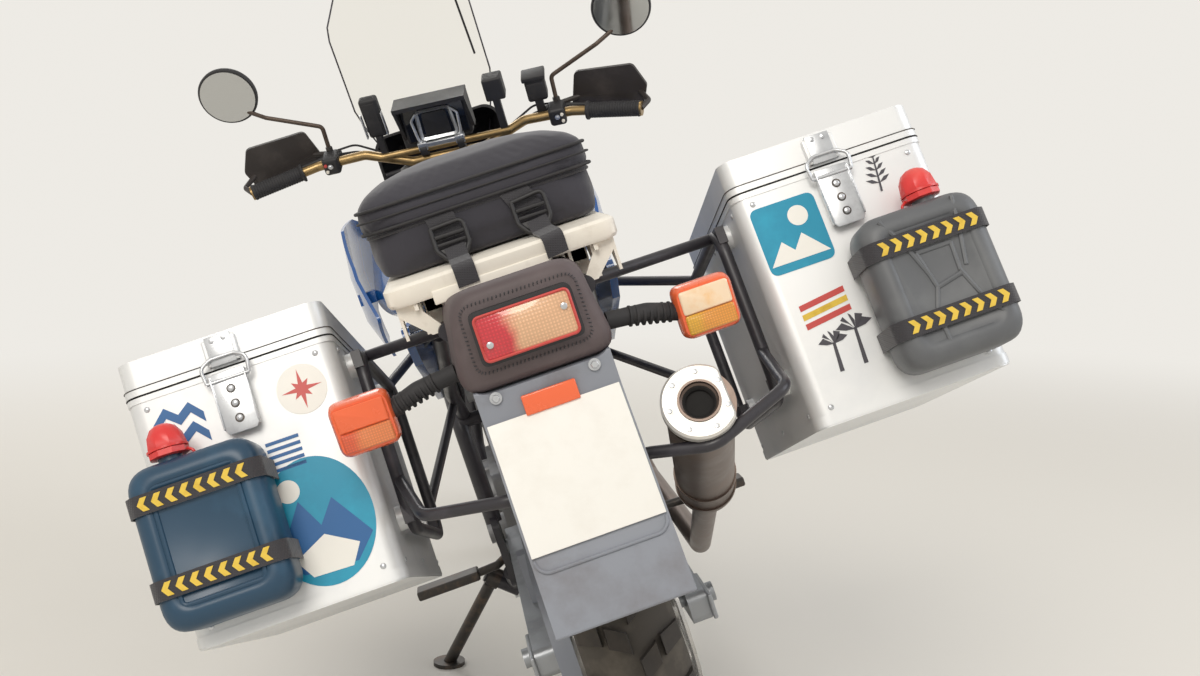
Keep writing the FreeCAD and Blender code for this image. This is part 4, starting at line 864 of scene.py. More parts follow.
def tailHousing():
    rows = [(-60, 92, 92, 880, 900, 8), (-250, 104, 90, 806, 914, 26),
        (-340, 101, 80, 800, 924, 30), (-358, 99, 78, 801, 923, 30), (-367, 94, 73, 805, 919, 28),
        (-372, 86, 66, 812, 912, 24)]
    # raised frame round the lamp
    h, low, high, y = tail["lensHalf"] + 6, tail["lensLow"] - 6, tail["lensHigh"] + 6, tail["face"]
    outer = ringLoop(h, h - 1, low, high, 10)
    inner = ringLoop(h - 7, h - 8, low + 7, high - 7, 7)
    loops = [[(x, at, z) for x, z in loop]
             for at, loop in ((-370, outer), (y + 3, outer), (y + 2, inner), (-371, inner))]
    parts = [(loftAlong(rows, 8), tailPlastic), (lofted(loops), blackPlastic)]
    # a row of stitches round the lamp's frame
    seam = [Vector((x, -372.6, z)) for x, z in ringLoop(h + 9, h + 8, low - 9, high + 9, 16)]
    thread = block((-0.6, -1.9, -0.7), (0.6, 1.9, 0.7), 0.3, 1)
    spots = []
    for a, b in zip(seam, seam[1:] + seam[:1]):
        run = b - a
        pieces = max(1, round(run.length / tail["stitch"]))
        if run.length > 3:
            spots += [spotAt(bike, a.lerp(b, (i + 0.5) / pieces), rearward, atan2(run.z, run.x))
                for i in range(pieces)]
    repeater("housingStitches", thread, spots, webbing, "chassis")
    assemble("tailHousing", bike, "chassis", parts, ["tail_housing"])


def tailLamp():
    h, low, high, y = tail["lensHalf"], tail["lensLow"], tail["lensHigh"], tail["face"]
    mid = (low + high) / 2

    def bowed(half, inset, rows=10, steps=12):
        # a lens that bulges in its middle, with its back flat
        points = []
        for j in range(rows + 1):
            for i in range(steps + 1):
                x = -half + 2 * half * i / steps
                z = low + inset + (high - low - 2 * inset) * j / rows
                bulge = tail["bulge"] * (1 - (x / h) ** 2) * (1 - ((z - mid) / (high - mid)) ** 2)
                points.append((x, y - bulge, z))
        count, wide = len(points), steps + 1
        points += [(x, y + 5, z) for x, _, z in points]
        corners = [j * wide + i for j in range(rows) for i in range(steps)]
        faces = [(a, a + 1, a + wide + 1, a + wide) for a in corners]
        faces += [(count + a, count + a + wide, count + a + wide + 1, count + a + 1)
            for a in corners]
        rims = [(a, a + wide) for j in range(rows) for a in (j * wide, j * wide + steps)]
        rims += [(a, a + 1) for i in range(steps) for a in (i, rows * wide + i)]
        faces += [(a, b, count + b, count + a) for a, b in rims]
        return tidied(meshOf(points, faces))

    # red on the lamp's left, amber on its right; the amber is painted pale cream as a painted highlight
    lens = prismLens("redAndAmberPrismLensWithPaintedHighlight", bike, (0, y, mid), "#d92f3c", "#f2c095", -0.006, 4.2)
    rim = [Vector((a, y - 1, b)) for a, b in ringLoop(h, h, low, high, 7)]
    parts = [(bowed(h - 1, 1), lens),
        (swept(rim, [(1.3, 1.3), (-1.3, 1.3), (-1.3, -1.3), (1.3, -1.3)], True), redVinyl)]
    for side in (-1, 1):
        spot = (side * (h - 10), y - 3, mid + side * 8)
        parts.append((turned([(0, 4.2), (1.5, 4.2), (2.4, 3)], spot, rearward, 14), latchSteel))
    assemble("tailLamp", bike, "chassis", parts, ["tail_lamp"])


def plateCarrier():
    assemble("plateCarrier", Matrix.Identity(4), "chassis",
        [(nodeCopy("plate_carrier"), greyPlastic)], ["plate_carrier"])
    slope = Matrix.Rotation(radians(carrier["slope"]), 4, "X")
    face = Matrix.Translation((0, *carrier["reflector"])) @ slope
    parts = [(block((-34, -5, -12), (34, 0, 13), 2), orangeLens)]
    for x in (-62, 62):
        parts += [(shape, latchSteel) for shape in boltHead((x, 1, 20), rearward, 5, 5)]
    assemble("carrierTrim", bike @ face, "chassis", parts)
    # the pressed step under the plate, and the turned lower edge
    half = carrier["half"]
    rightHalf = [(half - 12, -441.5, 590), (half - 3, -438.5, 597), (half - 1, -434.5, 606)]
    step = [(-x, y, z) for x, y, z in rightHalf[::-1]] + rightHalf
    edge = [(-half, -467.6, 521.4), (half, -467.6, 521.4)]
    assemble("carrierStep", bike, "chassis", [(pipe(step, carrier["bead"], 40, 8), greyPlastic),
        (pipe(edge, carrier["edge"], 8, 8), greyPlastic)])


signal = {"at": (224, -316, 800), "low": 768.0, "high": 838.0, "half": 39.0, "stalk": 11.6,
    "ribs": 7}
# the housing's rows of y, inset and corner radius
signalRows = ((-272, 8, 10), (-276, 2, 13), (-292, 0, 14), (-306, 1, 14), (-312, 4, 12))


def indicator():
    parts = []
    for side, name, left, right, upper in (
            (-1, "orangePrismLens", "#ea5f33", "#f08a4e", orangeLens),
            (1, "yellowPrismLens", "#f0b432", "#f2a13c", amberWithPaintedHighlight)):
        x, y, z = signal["at"]
        x *= side
        prisms = prismLens(name, bike, (x, y, z), left, right, 0.0, 3.4)

        def slab(half, low, high, rows):
            loops = []
            for y, inset, radius in rows:
                ring = ringLoop(half - inset, half - inset, low + inset, high - inset, radius)
                loops.append([(x + a, y, b) for a, b in ring])
            return lofted(loops)

        parts.append((slab(signal["half"], signal["low"], signal["high"], signalRows), orangeLens))
        # the face in two halves: smooth above, prisms below; the right lamp's upper half carries a painted
        # highlight
        for low, high, finish in ((801, 831, upper), (775, 800, prisms)):
            parts.append((slab(32, low, high, ((-311, 0, 4), (-315, 0, 4), (-316.5, 1.5, 4))),
                finish))
        stalk = [(side * 98, -302, 826), (side * 150, -298, 820), (side * 190, -292, 806)]
        parts.append((pipe(stalk, signal["stalk"], 30, 16), blackRubber))
        for i in range(signal["ribs"]):
            a = Vector((side * 128, -300, 822)).lerp(Vector((side * 178, -294, 810)),
                i / (signal["ribs"] - 1))
            rib = turned([(-2.4, 11), (-1.2, 13.4), (1.2, 13.4), (2.4, 11)], a,
                (side * 58, 5, -13), 20)
            parts.append((rib, blackRubber))
    assemble("indicatorsFinished", bike, "chassis", parts, ["indicators"])


muffler = {"tip": (168, -378, 709), "inlet": (192, 20, 470), "radius": 43.0, "cap": 48.0,
    "flat": 36.0, "bore": 27.0, "bands": 45.4, "screws": 7, "screwRing": 38.0}


def silencer():
    tip, inlet, radius = Vector(muffler["tip"]), Vector(muffler["inlet"]), muffler["radius"]
    way, length = (tip - inlet).normalized(), (tip - inlet).length
    across = Vector((1, 0, 0))
    across = (across - way * across.dot(way)).normalized()
    up = across.cross(way)
    parts = [(turned([(0, 24), (60, radius), (length - 16, radius)], inlet, way, 48), heatSteel)]
    for d in (74, 130, length - 40, length - 24):
        band = [(d, radius), (d, muffler["bands"]), (d + 9, muffler["bands"]), (d + 9, radius)]
        parts.append((turned(band, inlet, way, 48), heatSteel))

    # end cap: round on its upper left, straight on its right, with a stepped bore
    def loop(outline, distance, scale=1.0):
        return [tip + way * distance + across * x * scale + up * z * scale for x, z in outline]

    outline = [(min(x, muffler["flat"]), z) for x, z in circle(muffler["cap"], 48)]
    bore = circle(muffler["bore"], 48)
    loops = [loop(outline, -15), loop(outline, -3), loop(outline, 0, 0.94), loop(bore, 0),
        loop(bore, -14)]
    parts.append((lofted(loops), paleSteel))
    liner = [(-12, 21), (-12, 26.8), (2.2, 26.8), (2.2, 24), (-3, 23.4), (-5, 21), (-12, 21)]
    inside = [(-13, 17), (-13, 21.6), (-6, 21.6), (-6, 19.5), (-9, 17), (-13, 17)]
    parts += [(turned(liner, tip, way, 48), heatSteel), (turned(inside, tip, way, 48), sootAndSeamShade),
        (turned([(-13.9, 0.01), (-13.9, 18), (-13.2, 18)], tip, way, 40), sootAndSeamShade)]
    for i in range(muffler["screws"]):
        a, ringRadius = 2 * pi * (i + 0.5) / muffler["screws"], muffler["screwRing"]
        spot = tip + across * min(ringRadius * cos(a), 31) + up * ringRadius * sin(a)
        parts.append((turned([(0, 3.4), (1.4, 3.0), (2.0, 0.01)], spot, way, 12), latchSteel))
    assemble("silencerFinished", bike, "chassis", parts, ["silencer"])


tailHousing()
tailLamp()
plateCarrier()
indicator()
silencer()
smoothNode("number_plate", blankPaint)
print("tail made")


# Bag, its straps and buckles, and the carrier under it

bag = {"rear": -150.0, "front": 200.0, "half": 163.0, "floor": 946.0, "strapWidth": 39.0,
    "pressure": 2.5, "frames": 16, "voxel": 0.005, "cap": 0.0045}


def simulatedPuff(piece, finish, pressure, frames, voxel, cap):
    # Cloth under pressure, with how far a point may move capped, then one subdivision
    mesh = piece.data
    remesh = piece.modifiers.new("Remesh", "REMESH")
    remesh.mode = "VOXEL"
    remesh.voxel_size = voxel
    piece.data = evaluatedMesh(piece)
    piece.modifiers.clear()
    start = [vertex.co.copy() for vertex in piece.data.vertices]
    cloth = piece.modifiers.new("Cloth", "CLOTH")
    cloth.settings.use_pressure = True
    cloth.settings.uniform_pressure_force = pressure
    cloth.settings.effector_weights.gravity = 0.0
    cloth.point_cache.frame_end = frames
    for step in range(1, frames + 1):
        bpy.context.scene.frame_set(step)
    shaped = evaluatedMesh(piece)
    for vertex, origin in zip(shaped.vertices, start):
        move = vertex.co - origin
        if move.length > cap:
            vertex.co = origin + move * (cap / move.length)
    for polygon in shaped.polygons:
        polygon.use_smooth = True
    shaped.materials.clear()
    shaped.materials.append(finish)
    piece.modifiers.clear()
    piece.data = shaped
    finer = piece.modifiers.new("Subdivision", "SUBSURF")
    finer.levels = finer.render_levels = 1
    bpy.context.scene.frame_set(1)
    bpy.data.meshes.remove(mesh)


def bagShape():
    # a box with a soft domed lid that stands out over it on all sides
    h, low, r, f = bag["half"], bag["floor"], bag["rear"], bag["front"]
    body = [[(x, y, z) for x, y in ringLoop(h - inset, h - inset, r + inset, f - inset, 30)]
            for z, inset in ((low, 14), (low + 6, 9), (980, 8), (1024, 11))]
    lid = [[(x, y, z) for x, y in ringLoop(h - inset, h - inset, r + inset, f - inset, 36)]
           for z, inset in ((1012, 12), (1014, 4), (1043, 3), (1050, 6), (1061, 18), (1070, 44),
                            (1077, 78), (1081, 110))]
    return [(lofted(body), bagCloth), (lofted(lid), bagCloth)]


def luggageBag():
    low = bag["floor"]
    piece = assemble("luggageBag", bike, "chassis", bagShape(), ["luggage_bag"])
    simulatedPuff(piece, bagCloth, bag["pressure"], bag["frames"], bag["voxel"], bag["cap"])
    floorPoint = bike @ Vector((0, 0, low))
    for vertex in piece.data.vertices:
        below = (vertex.co - floorPoint).dot(bikeUp)
        if below < 0.0:
            vertex.co -= bikeUp * below


def bagTrim():
    # piping on the lid's rim, the zip under it, and two straps with ladder buckles
    parts = []
    r, f, h = bag["rear"], bag["front"], bag["half"]
    for z, inset, radius, finish in ((1044, 0.5, 2.4, blackRubber), (1014, 0.5, 2.4, blackRubber),
            (1008, 6, 2.6, webbing), (1030, -1.6, 1.4, blackRubber)):
        loop = ringLoop(h - inset, h - inset, r + inset, f - inset, 44)
        track = [Vector((x, y, z)) for x, y in loop]
        parts.append((swept(track, circle(radius), True), finish))
    for x, lean in ((-51, 6), (62, 15)):
        across = Vector((bag["strapWidth"], 0, lean * 0.25))
        line = [(x - lean, r + 5, 1014), (x - lean * 0.7, r + 1, 1004), (x, r - 5, 978)]
        parts.append((strap(line, across, 2.2, 14), webbing))
        edge = -255.0
        loose = [(x + lean * 0.2, r - 14, 966), (x + lean * 0.3, r - 32, 951),
            (x + lean * 0.5, edge + 6, 948.5), (x + lean * 0.6, edge - 4, 944),
            (x + lean * 0.6, edge - 4, 920)]
        parts.append((strap(loose, across * 0.72, 2.2, 8), webbing))
        # ladder buckle: a frame with two bars over a rounded tongue
        high, low, half, y = 996, 950, 22.5, r - 9
        outline = [(x - half, y, high), (x + half, y, high + lean * 0.3),
            (x + half, y - 7, low + 16), (x + half - 12, y - 12, low),
            (x - half + 12, y - 12, low), (x - half, y - 7, low + 16), (x - half, y, high)]
        parts.append((pipe(outline, 3.2, 9, 10), blackPlastic))
        for z in (high - 13, high - 24):
            parts.append((block((x - half + 2, y - 6, z - 2.4), (x + half - 2, y + 1, z + 2.4),
                1.2), blackPlastic))
        tongue = [(x - half + 4, y - 5, high - 30), (x + half - 4, y - 5, high - 30),
            (x + half - 5, y - 9, low + 15), (x + half - 14, y - 12, low + 3),
            (x - half + 14, y - 12, low + 3), (x - half + 5, y - 9, low + 15)]
        parts.append((plate(tongue, (0, 4, 1), 0.8), blackPlastic))
    assemble("bagTrim", bike, "chassis", parts)


rack = {"half": 155.0, "rear": -255.0, "front": 60.0, "low": 918.0, "high": 945.0, "legs": 100,
    "ribs": 5, "ribStep": 60, "blocks": 4, "blockStep": 66}


def rearCarrier():
    # cast plate with a rolled rim, ribs underneath and three-cornered webs at its ends
    x, y0, y1, low, high = (rack[k] for k in ("half", "rear", "front", "low", "high"))
    rim = [[(a, b, z) for a, b in ringLoop(x - inset, x - inset, y0 + inset, y1 - inset, 26)]
           for z, inset in ((low, 3), (low + 5, 0), (high - 4, 0), (high, 4))]
    shapes = [lofted(rim)]
    for side in (-1, 1):
        end = y0 + 17
        for a in (146, 118, 88):
            web = [(side * a, end, low + 3), (side * a, end + 60, low + 3),
                (side * a, end + 14, low - 44), (side * a, end, low - 44)]
            shapes.append(plate(web, (side * -4, 0, 0)))
        brace = [(146, low + 3), (146, low - 12), (112, low - 46), (98, low - 46), (98, low - 36),
            (126, low + 3)]
        shapes.append(plate([(side * a, end - 1, b) for a, b in brace], (0, 5, 0)))
        leg = side * rack["legs"]
        for i in range(rack["blocks"]):
            y = -200 + i * rack["blockStep"]
            shapes.append(block((leg - 12, y, low - 20), (leg + 12, y + 8, low + 2)))
        for y in (-200, 0):
            shapes.append(block((leg - 12, y, 868), (leg + 12, y + 40, 922), 2))
    for i in range(rack["ribs"]):
        a = -120 + i * rack["ribStep"]
        shapes.append(block((a - 2.5, y0 + 6, low - 9), (a + 2.5, y1 - 6, low + 2)))
    shapes.append(block((-96, y0 - 2, low - 10), (60, y0 + 6, low + 8), 1.5))
    assemble("rearCarrierFinished", bike, "chassis", [(shape, creamCasting) for shape in shapes],
        ["rear_carrier"])


# cushion rows: y, half width low, half width high, z low, z high, corner radius
seat = {
    "pressure": 2.0, "frames": 12, "voxel": 0.006, "cap": 0.0025, "seam": 2.2,
    "rider": [(650, 90, 78, 839, 878, 16), (610, 104, 92, 838, 880, 20),
              (560, 119, 106, 838, 881, 22), (500, 130, 118, 840, 880, 24),
              (440, 139, 128, 842, 882, 24), (396, 146, 136, 843, 884, 24)],
    "pillion": [(378, 137, 126, 852, 900, 18), (356, 138, 128, 858, 918, 22),
                (330, 138, 128, 863, 931, 24), (270, 133, 124, 866, 934, 24),
                (200, 127, 118, 869, 936, 24), (114, 120, 110, 873, 936, 22)]}


def seatCushions():
    # foam under vinyl: each cushion is crowned, swells a little, and is sewn along its upper edge
    shapes, trims = [], []
    for rows in (seat["rider"], seat["pillion"]):
        shapes.append((loftAlong(rows, 6), seatVinyl))
        for side in (-1, 1):
            edge = [(side * (high - 5), y, top - 3) for y, _, high, _, top, _ in rows]
            trims.append((pipe(edge, seat["seam"], 30, 8), blackRubber))
        for y, _, high, _, top, _ in rows[1:-1]:
            trims.append((pipe([(-high + 4, y, top - 3), (-high + 22, y, top + 0.6),
                (high - 22, y, top + 0.6), (high - 4, y, top - 3)], 1.5, 12, 8), blackRubber))
    piece = assemble("seatCushions", bike, "chassis", shapes, ["seat"])
    simulatedPuff(piece, seatVinyl, seat["pressure"], seat["frames"], seat["voxel"],
        seat["cap"])
    assemble("seatSeams", bike, "chassis", trims)


luggageBag()
seatCushions()
bagTrim()
rearCarrier()
print("bag and carrier made")


# Bar, guards, mirrors, instruments and screen

mirror = {"at": (457, 92, 1446), "glass": 61.5, "stem": 5, "foot": (270, 58, 1270)}


def mirrorsFinished():
    parts = []
    x, y, z = mirror["at"]
    footX, footY, footZ = mirror["foot"]
    for side in (-1, 1):
        shell = [(-1, 60), (0, 65), (4, 67), (12, 66), (19, 55), (20, 0.01)]
        glass = [(0, mirror["glass"]), (-1.2, mirror["glass"])]
        for rows, finish in ((shell, blackPlastic), (glass, mirrorGlass)):
            parts.append((turned(rows, (side * x, y, z), forward, 56), finish))
        stem = [(side * footX, 56, 1266), (side * footX, 72, 1334), (side * 387, 76, 1384),
            (side * 445, 104, 1406)]
        parts.append((pipe(stem, mirror["stem"], 14, 14), bronzePowder))
        parts.append((turned([(0, 9), (16, 9), (18, 6)], (side * footX, footY, footZ),
            (0, 0.2, 1), 6), darkSteelAndShade))
        parts.append((turned([(0, 8), (14, 7)], (side * 445, 102, 1400), (0.1 * side, 0.1, 0.5),
            16), blackPlastic))
    assemble("mirrorsFinished", fork, "steering", parts, ["mirrors"])


bar = {"gripInner": (300, 32, 1258), "gripEnd": (454, -12, 1250), "gripLength": 124.0, "ribs": 18,
    "ribStep": 6, "screenX": (-86, 70), "screenZ": (1254, 1344), "screenFace": 44}
# low corner, high corner, rounding and finish of the small clamps and pads on the bar
barBlocks = [((-63, 26, 1242), (-41, 44, 1262), 2, latchSteel),
    ((25, 26, 1242), (47, 44, 1262), 2, latchSteel),
    ((-171.6, 38, 1294), (-168.4, 52, 1352), 1, latchSteel),
    ((-123.6, 38, 1294), (-120.4, 52, 1352), 1, latchSteel),
    ((-160, 42, 1300), (-130, 45, 1376), 1.4, blackRubber),
    ((204, 48, 1340), (258, 98, 1352), 3, blackPlastic),
    ((212, 50, 1296), (250, 53, 1334), 1.4, blackRubber)]


def barTrim():
    # ribbed grips, clamps on the bar, and the faces of what is mounted on it
    parts = []
    hand, end, length = Vector(bar["gripInner"]), Vector(bar["gripEnd"]), bar["gripLength"]
    for side in (-1, 1):
        inner = Vector((side * hand.x, hand.y, hand.z))
        outer = Vector((side * end.x, end.y, end.z))
        way = (outer - inner).normalized()
        rows = [(0, 16.6), (0, 21), (4, 21.5), (7, 18)]
        for i in range(bar["ribs"]):
            a = 9 + i * bar["ribStep"]
            rows += [(a, 16.9), (a + 1, 17.7), (a + 4, 17.7), (a + 5, 16.9)]
        rows += [(length - 4, 18.5), (length - 1, 18), (length, 16.6)]
        parts.append((turned(rows + [rows[0]], outer - way * length, way, 28), blackRubber))
        bolt = boltHead((side * (hand.x - 33), 8, 1262), rearward, 4, 4)
        parts += [(shape, latchSteel) for shape in bolt]
        # two buttons on each switch box, one of them red
        for z in (1250, 1266):
            finish = redVinyl if z == 1266 and side < 0 else creamCasting
            spot = (side * (hand.x - 22), 10, z)
            parts.append((turned([(0, 4), (3, 3.6), (3.4, 0.01)], spot, rearward, 12), finish))
    # the screen box: glass, a rim, a raised face, and a bracket with two arms
    (x0, x1), (z0, z1), y = bar["screenX"], bar["screenZ"], bar["screenFace"]
    middle = (x0 + x1) / 2
    parts.append((block((x0 + 8, y - 0.8, z0 + 6), (x1 - 8, y + 1, z1 - 6), 0.6), darkGlass))
    rim = [Vector((middle + x, y - 3, z)) for x, z in ringLoop(42, 38, z0 + 8, z1 - 12, 9)]
    parts.append((swept(rim, [(3.6, 2.6), (-3.6, 2.6), (-3.6, -2.6), (3.6, -2.6)], True),
        latchSteel))
    face = [(middle + x, y - 1.4, z) for x, z in ringLoop(30, 28, z0 + 16, z1 - 18, 7)]
    parts.append((plate(face, (0, -2.4, 0), 0.8), blackPlastic))
    for side in (-1, 1):
        arm = [(middle + side * 40, y - 3, z1 - 16), (middle + side * 54, y - 5, z1 - 30),
            (middle + side * 50, y - 7, z0 + 12), (middle + side * 30, y - 10, z0 - 4)]
        parts.append((pipe(arm, 3.4, 10, 8), latchSteel))
    parts.append((block((middle - 36, y - 14, z0 - 8), (middle + 36, y - 6, z0 + 4), 2),
        latchSteel))
    parts += [(block(low, high, bevel), finish) for low, high, bevel, finish in barBlocks]
    # control cables from the levers to the middle of the bar
    for side in (-1, 1):
        for lift, radius in ((0, 3.6), (10, 2.6)):
            run = [(262, 62, 1262 + lift), (214, 78, 1250 + lift * 2), (150, 66, 1228 + lift),
                (96, 52, 1204 + lift), (70, 58, 1180)]
            parts.append((pipe([(side * x, y, z) for x, y, z in run], radius, 40, 8), blackRubber))
    assemble("barTrim", fork, "steering", parts)


screen = {"curve": 310.0, "foot": (1430.0, 1118.0), "lean": 150 / 460, "bead": 1.9}


def screenTrim():
    # a rounded bead round the sheet, and a narrow strip near its right edge
    curve, (footY, footZ) = screen["curve"], screen["foot"]

    def on(x, z, proud=0.0):
        arch = sqrt(curve * curve - x * x) - curve
        return Vector((x, footY + arch - (z - footZ) * screen["lean"] + proud, z))

    outline = [(-126, 1120), (126, 1120), (160, 1214), (172, 1262), (172, 1430), (166, 1461),
        (123, 1532.5), (95, 1541.2), (-95, 1541.2), (-123, 1532.5), (-166, 1461), (-172, 1430),
        (-172, 1262), (-160, 1214)]
    line = []
    for (ax, az), (bx, bz) in zip(outline, outline[1:] + outline[:1]):
        for i in range(6):
            line.append(on(ax + (bx - ax) * i / 6, az + (bz - az) * i / 6, -2))
    parts = [(swept(line, circle(screen["bead"]), True), charcoalVinyl)]
    strip = [on(140 + 2 * i, 1490 - 46 * i, -6) for i in range(5)]
    parts.append((strap(strip, (5, 0, 1.5), 2.0, 10), blackPlastic))
    for x in (-96, 96):
        bolt = boltHead(on(x, 1146, -4), (0, -1, 0.3), 6, 5)
        parts += [(shape, blackPlastic) for shape in bolt]
    assemble("screenTrim", bike, "chassis", parts)


drive = {"front": (606.0, 345.0), "rearRadius": 107.0, "frontRadius": 42.0, "x": -88.0,
    "pitch": 15.875, "plate": 1.4, "plateRound": 7.0}


def chainLinks():
    # plates and rollers pitch by pitch round the two sprockets
    rear, front = Vector((0, (rearAxle - bikeOrigin).length * 1000)), Vector(drive["front"])
    high, low = drive["rearRadius"], drive["frontRadius"]
    span = front - rear
    slope = atan2(span.y, span.x)
    spread = acos((high - low) / span.length)
    straight = sqrt(span.length ** 2 - (high - low) ** 2)
    rearArc, frontArc = (2 * pi - 2 * spread) * high, 2 * spread * low
    total = rearArc + frontArc + 2 * straight
    count = 2 * round(total / (2 * drive["pitch"]))

    def on(hub, radius, angle):
        return hub + Vector((cos(angle), sin(angle))) * radius

    def at(distance):
        d = distance % total
        if d < rearArc:
            return on(rear, high, slope + 2 * pi - spread - d / high)
        d -= rearArc
        if d < straight:
            return on(rear, high, slope + spread).lerp(on(front, low, slope + spread),
                d / straight)
        d -= straight
        if d < frontArc:
            return on(front, low, slope + spread - d / low)
        d -= frontArc
        return on(front, low, slope - spread).lerp(on(rear, high, slope - spread), d / straight)

    pins = [at(total * i / count) for i in range(count)]
    half, end = total / count / 2, drive["plateRound"]
    for kind, reach, pin, first in (("outer", 8.4, 2.6, 0), ("inner", 5.8, 4.6, 1)):
        shapes = []
        for side in (-1, 1):
            outline = [(side * reach, way * half + end * cos(a), end * sin(a)) for way in (1, -1)
                for a in [radians(-90 + 30 * i) + (0 if way > 0 else pi) for i in range(7)]]
            shapes.append(plate(outline, (side * drive["plate"], 0, 0)))
        shapes += [rod((-reach - 1.6, way * half, 0), (reach + 1.6, way * half, 0), pin, 8)
            for way in (-1, 1)]
        spots = []
        for i in range(first, count, 2):
            a, b = pins[i], pins[(i + 1) % count]
            mid, run = (a + b) / 2, b - a
            turn = turnOf(bike) @ Matrix.Rotation(atan2(run.y, run.x), 4, "X")
            spots.append(Matrix.Translation(bike @ Vector((drive["x"], mid.x, mid.y))) @ turn)
        piece = repeater(kind + "Links", merged(shapes, kind + "Link"), spots, chainSteel,
            "chassis")
        if kind == "outer":
            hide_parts("chain")


# low and high corner of one, how many, step, first place, and the way along which they stand
core = {
    "centre": (0, 1116, 590), "pitch": -9.2,
    "radiatorTubes": ((-146, -15.5, -1.4), (146, 15.5, 1.4), 18, 13.4, (0, 0, -114), upward),
    "radiatorFins": ((-0.5, -14.8, -116), (0.5, 14.8, 116), 58, 5.0, (-142, 0, 0), rightward)}


def coreFins():
    # folded fins between the radiator's flat tubes
    pitch = Matrix.Rotation(radians(core["pitch"]), 4, "X")
    lay = bike @ Matrix.Translation(core["centre"]) @ pitch
    for name in ("radiatorTubes", "radiatorFins"):
        low, high, count, step, first, way = core[name]
        places = [lay @ (Vector(first) + Vector(way) * step * i) for i in range(count)]
        spots = [Matrix.Translation(place) @ turnOf(lay) for place in places]
        repeater(name, block(low, high), spots, finAlloy, "chassis")


# side, y, z, radius and depth of each round cover, and its screws
covers = ((1, 760, 372, 92, 42, 8), (-1, 880, 358, 80, 36, 7), (1, 908, 330, 36, 26, 4))


def engineScrews():
    # flange screws round the side covers
    caseHalf, fromEdge = 132.2, 9
    spots = []
    for side, y, z, radius, depth, count in covers:
        for i in range(count):
            a = 2 * pi * i / count
            spots.append(spotAt(bike, (side * (caseHalf + depth),
                y + (radius - fromEdge) * cos(a), z + (radius - fromEdge) * sin(a)), (side, 0, 0)))
    head = merged(boltHead((0, 0, 0), upward, 4.2, 5), "coverScrew")
    repeater("coverScrews", head, spots, latchSteel, "chassis")


spring = {"low": (0, 460, 417), "high": (0, 540, 563), "turns": 7, "wire": 6.0, "coil": 31.5,
    "seat": 38.0, "rod": ((0, 432, 366), (0, 560, 600), 16)}


def shockSpring():
    low, high = Vector(spring["low"]), Vector(spring["high"])
    way, side, other = axesFor(high - low)
    length = (high - low).length
    steps = spring["turns"] * 20
    line = []
    for i in range(steps + 1):
        angle = 2 * pi * spring["turns"] * i / steps
        rise = spring["wire"] + (length - 2 * spring["wire"]) * i / steps
        line.append(low + way * rise + (side * cos(angle) + other * sin(angle)) * spring["coil"])
    parts = [(swept(line, circle(spring["wire"])), redVinyl), (rod(*spring["rod"]), paleSteel)]
    for at in (0, length - 6):
        seatRing = [(0, 16), (0, spring["seat"]), (6, spring["seat"]), (6, 16)]
        parts.append((turned(seatRing, low + way * at, way, 40), darkSteelAndShade))
    parts.append((turned([(0, 22), (44, 22)], (-22, 560, 600), rightward, 32), darkSteelAndShade))
    assemble("shockFinished", bike, "chassis", parts, ["shock_absorber"])


# the lamps' bowl, ring and glass, each as rows of (forward, radius)
lamps = {
    "x": 60.0, "y": 1420.0, "z": 1038.0,
    "bowl": [(0, 0.01), (0, 50), (50, 50), (56, 49.6), (56, 45), (50, 44), (30, 34), (18, 14),
             (14, 0.01)],
    "ring": [(50, 44.5), (50, 50), (62, 50), (62, 46), (57, 44.5), (50, 44.5)],
    "glass": [(53, 0.01), (53, 44.8), (56, 44.8), (59, 38), (61, 22), (61.8, 0.01)]}


def lampFaces():
    # two round lamps: chromed bowls behind fluted glass, each in a dark ring
    parts = []
    for side in (-1, 1):
        foot = (side * lamps["x"], lamps["y"], lamps["z"])
        for rows, finish in (("bowl", mirrorGlass), ("ring", blackPlastic), ("glass", clearLens)):
            parts.append((turned(lamps[rows], foot, forward, 48), finish))
    assemble("headlightFinished", bike, "chassis", parts, ["headlight"])


filler = {"at": (0, 862, 1055), "lift": (0, -0.17, 1), "screws": 6, "screwRing": (35.5, 35.0),
    "rows": [(-2, 41), (2, 41), (3, 39), (5, 38.5), (8, 35), (8, 33), (6, 31), (6, 0.01)]}


def fillerCap():
    (_, y, z), (across, along) = filler["at"], filler["screwRing"]
    parts = [(turned(filler["rows"], filler["at"], filler["lift"], 48), machinedAlloy),
        (block((-9, y - 24, z - 2), (9, y + 12, z + 13), 3), machinedAlloy)]
    for i in range(filler["screws"]):
        a = 2 * pi * i / filler["screws"]
        spot = (across * cos(a), y + along * sin(a), z + 6.5 + 6 * sin(a))
        parts.append((turned([(0, 3.2), (1.6, 3.0), (2, 0.01)], spot, filler["lift"], 12),
            darkSteelAndShade))
    assemble("fillerCap", bike, "chassis", parts)


guardPlastic = surface("weatheredGuardPolypropylene", "#383331", 0.5, grain=1.0, depth=0.04,
    patch=70, worn="#4a4441")
chainSteel = surface("oiledChainSteel", "#6d655c", 0.4, 0.85, grain=1, depth=0.01, patch=20,
    worn="#463f38")
finAlloy = surface("roadGrimedFins", "#57565a", 0.5, 0.6, grain=2, depth=0.01, patch=60,
    worn="#3a3633")
mirrorsFinished()
barTrim()
screenTrim()
chainLinks()
coreFins()
engineScrews()
shockSpring()
lampFaces()
fillerCap()
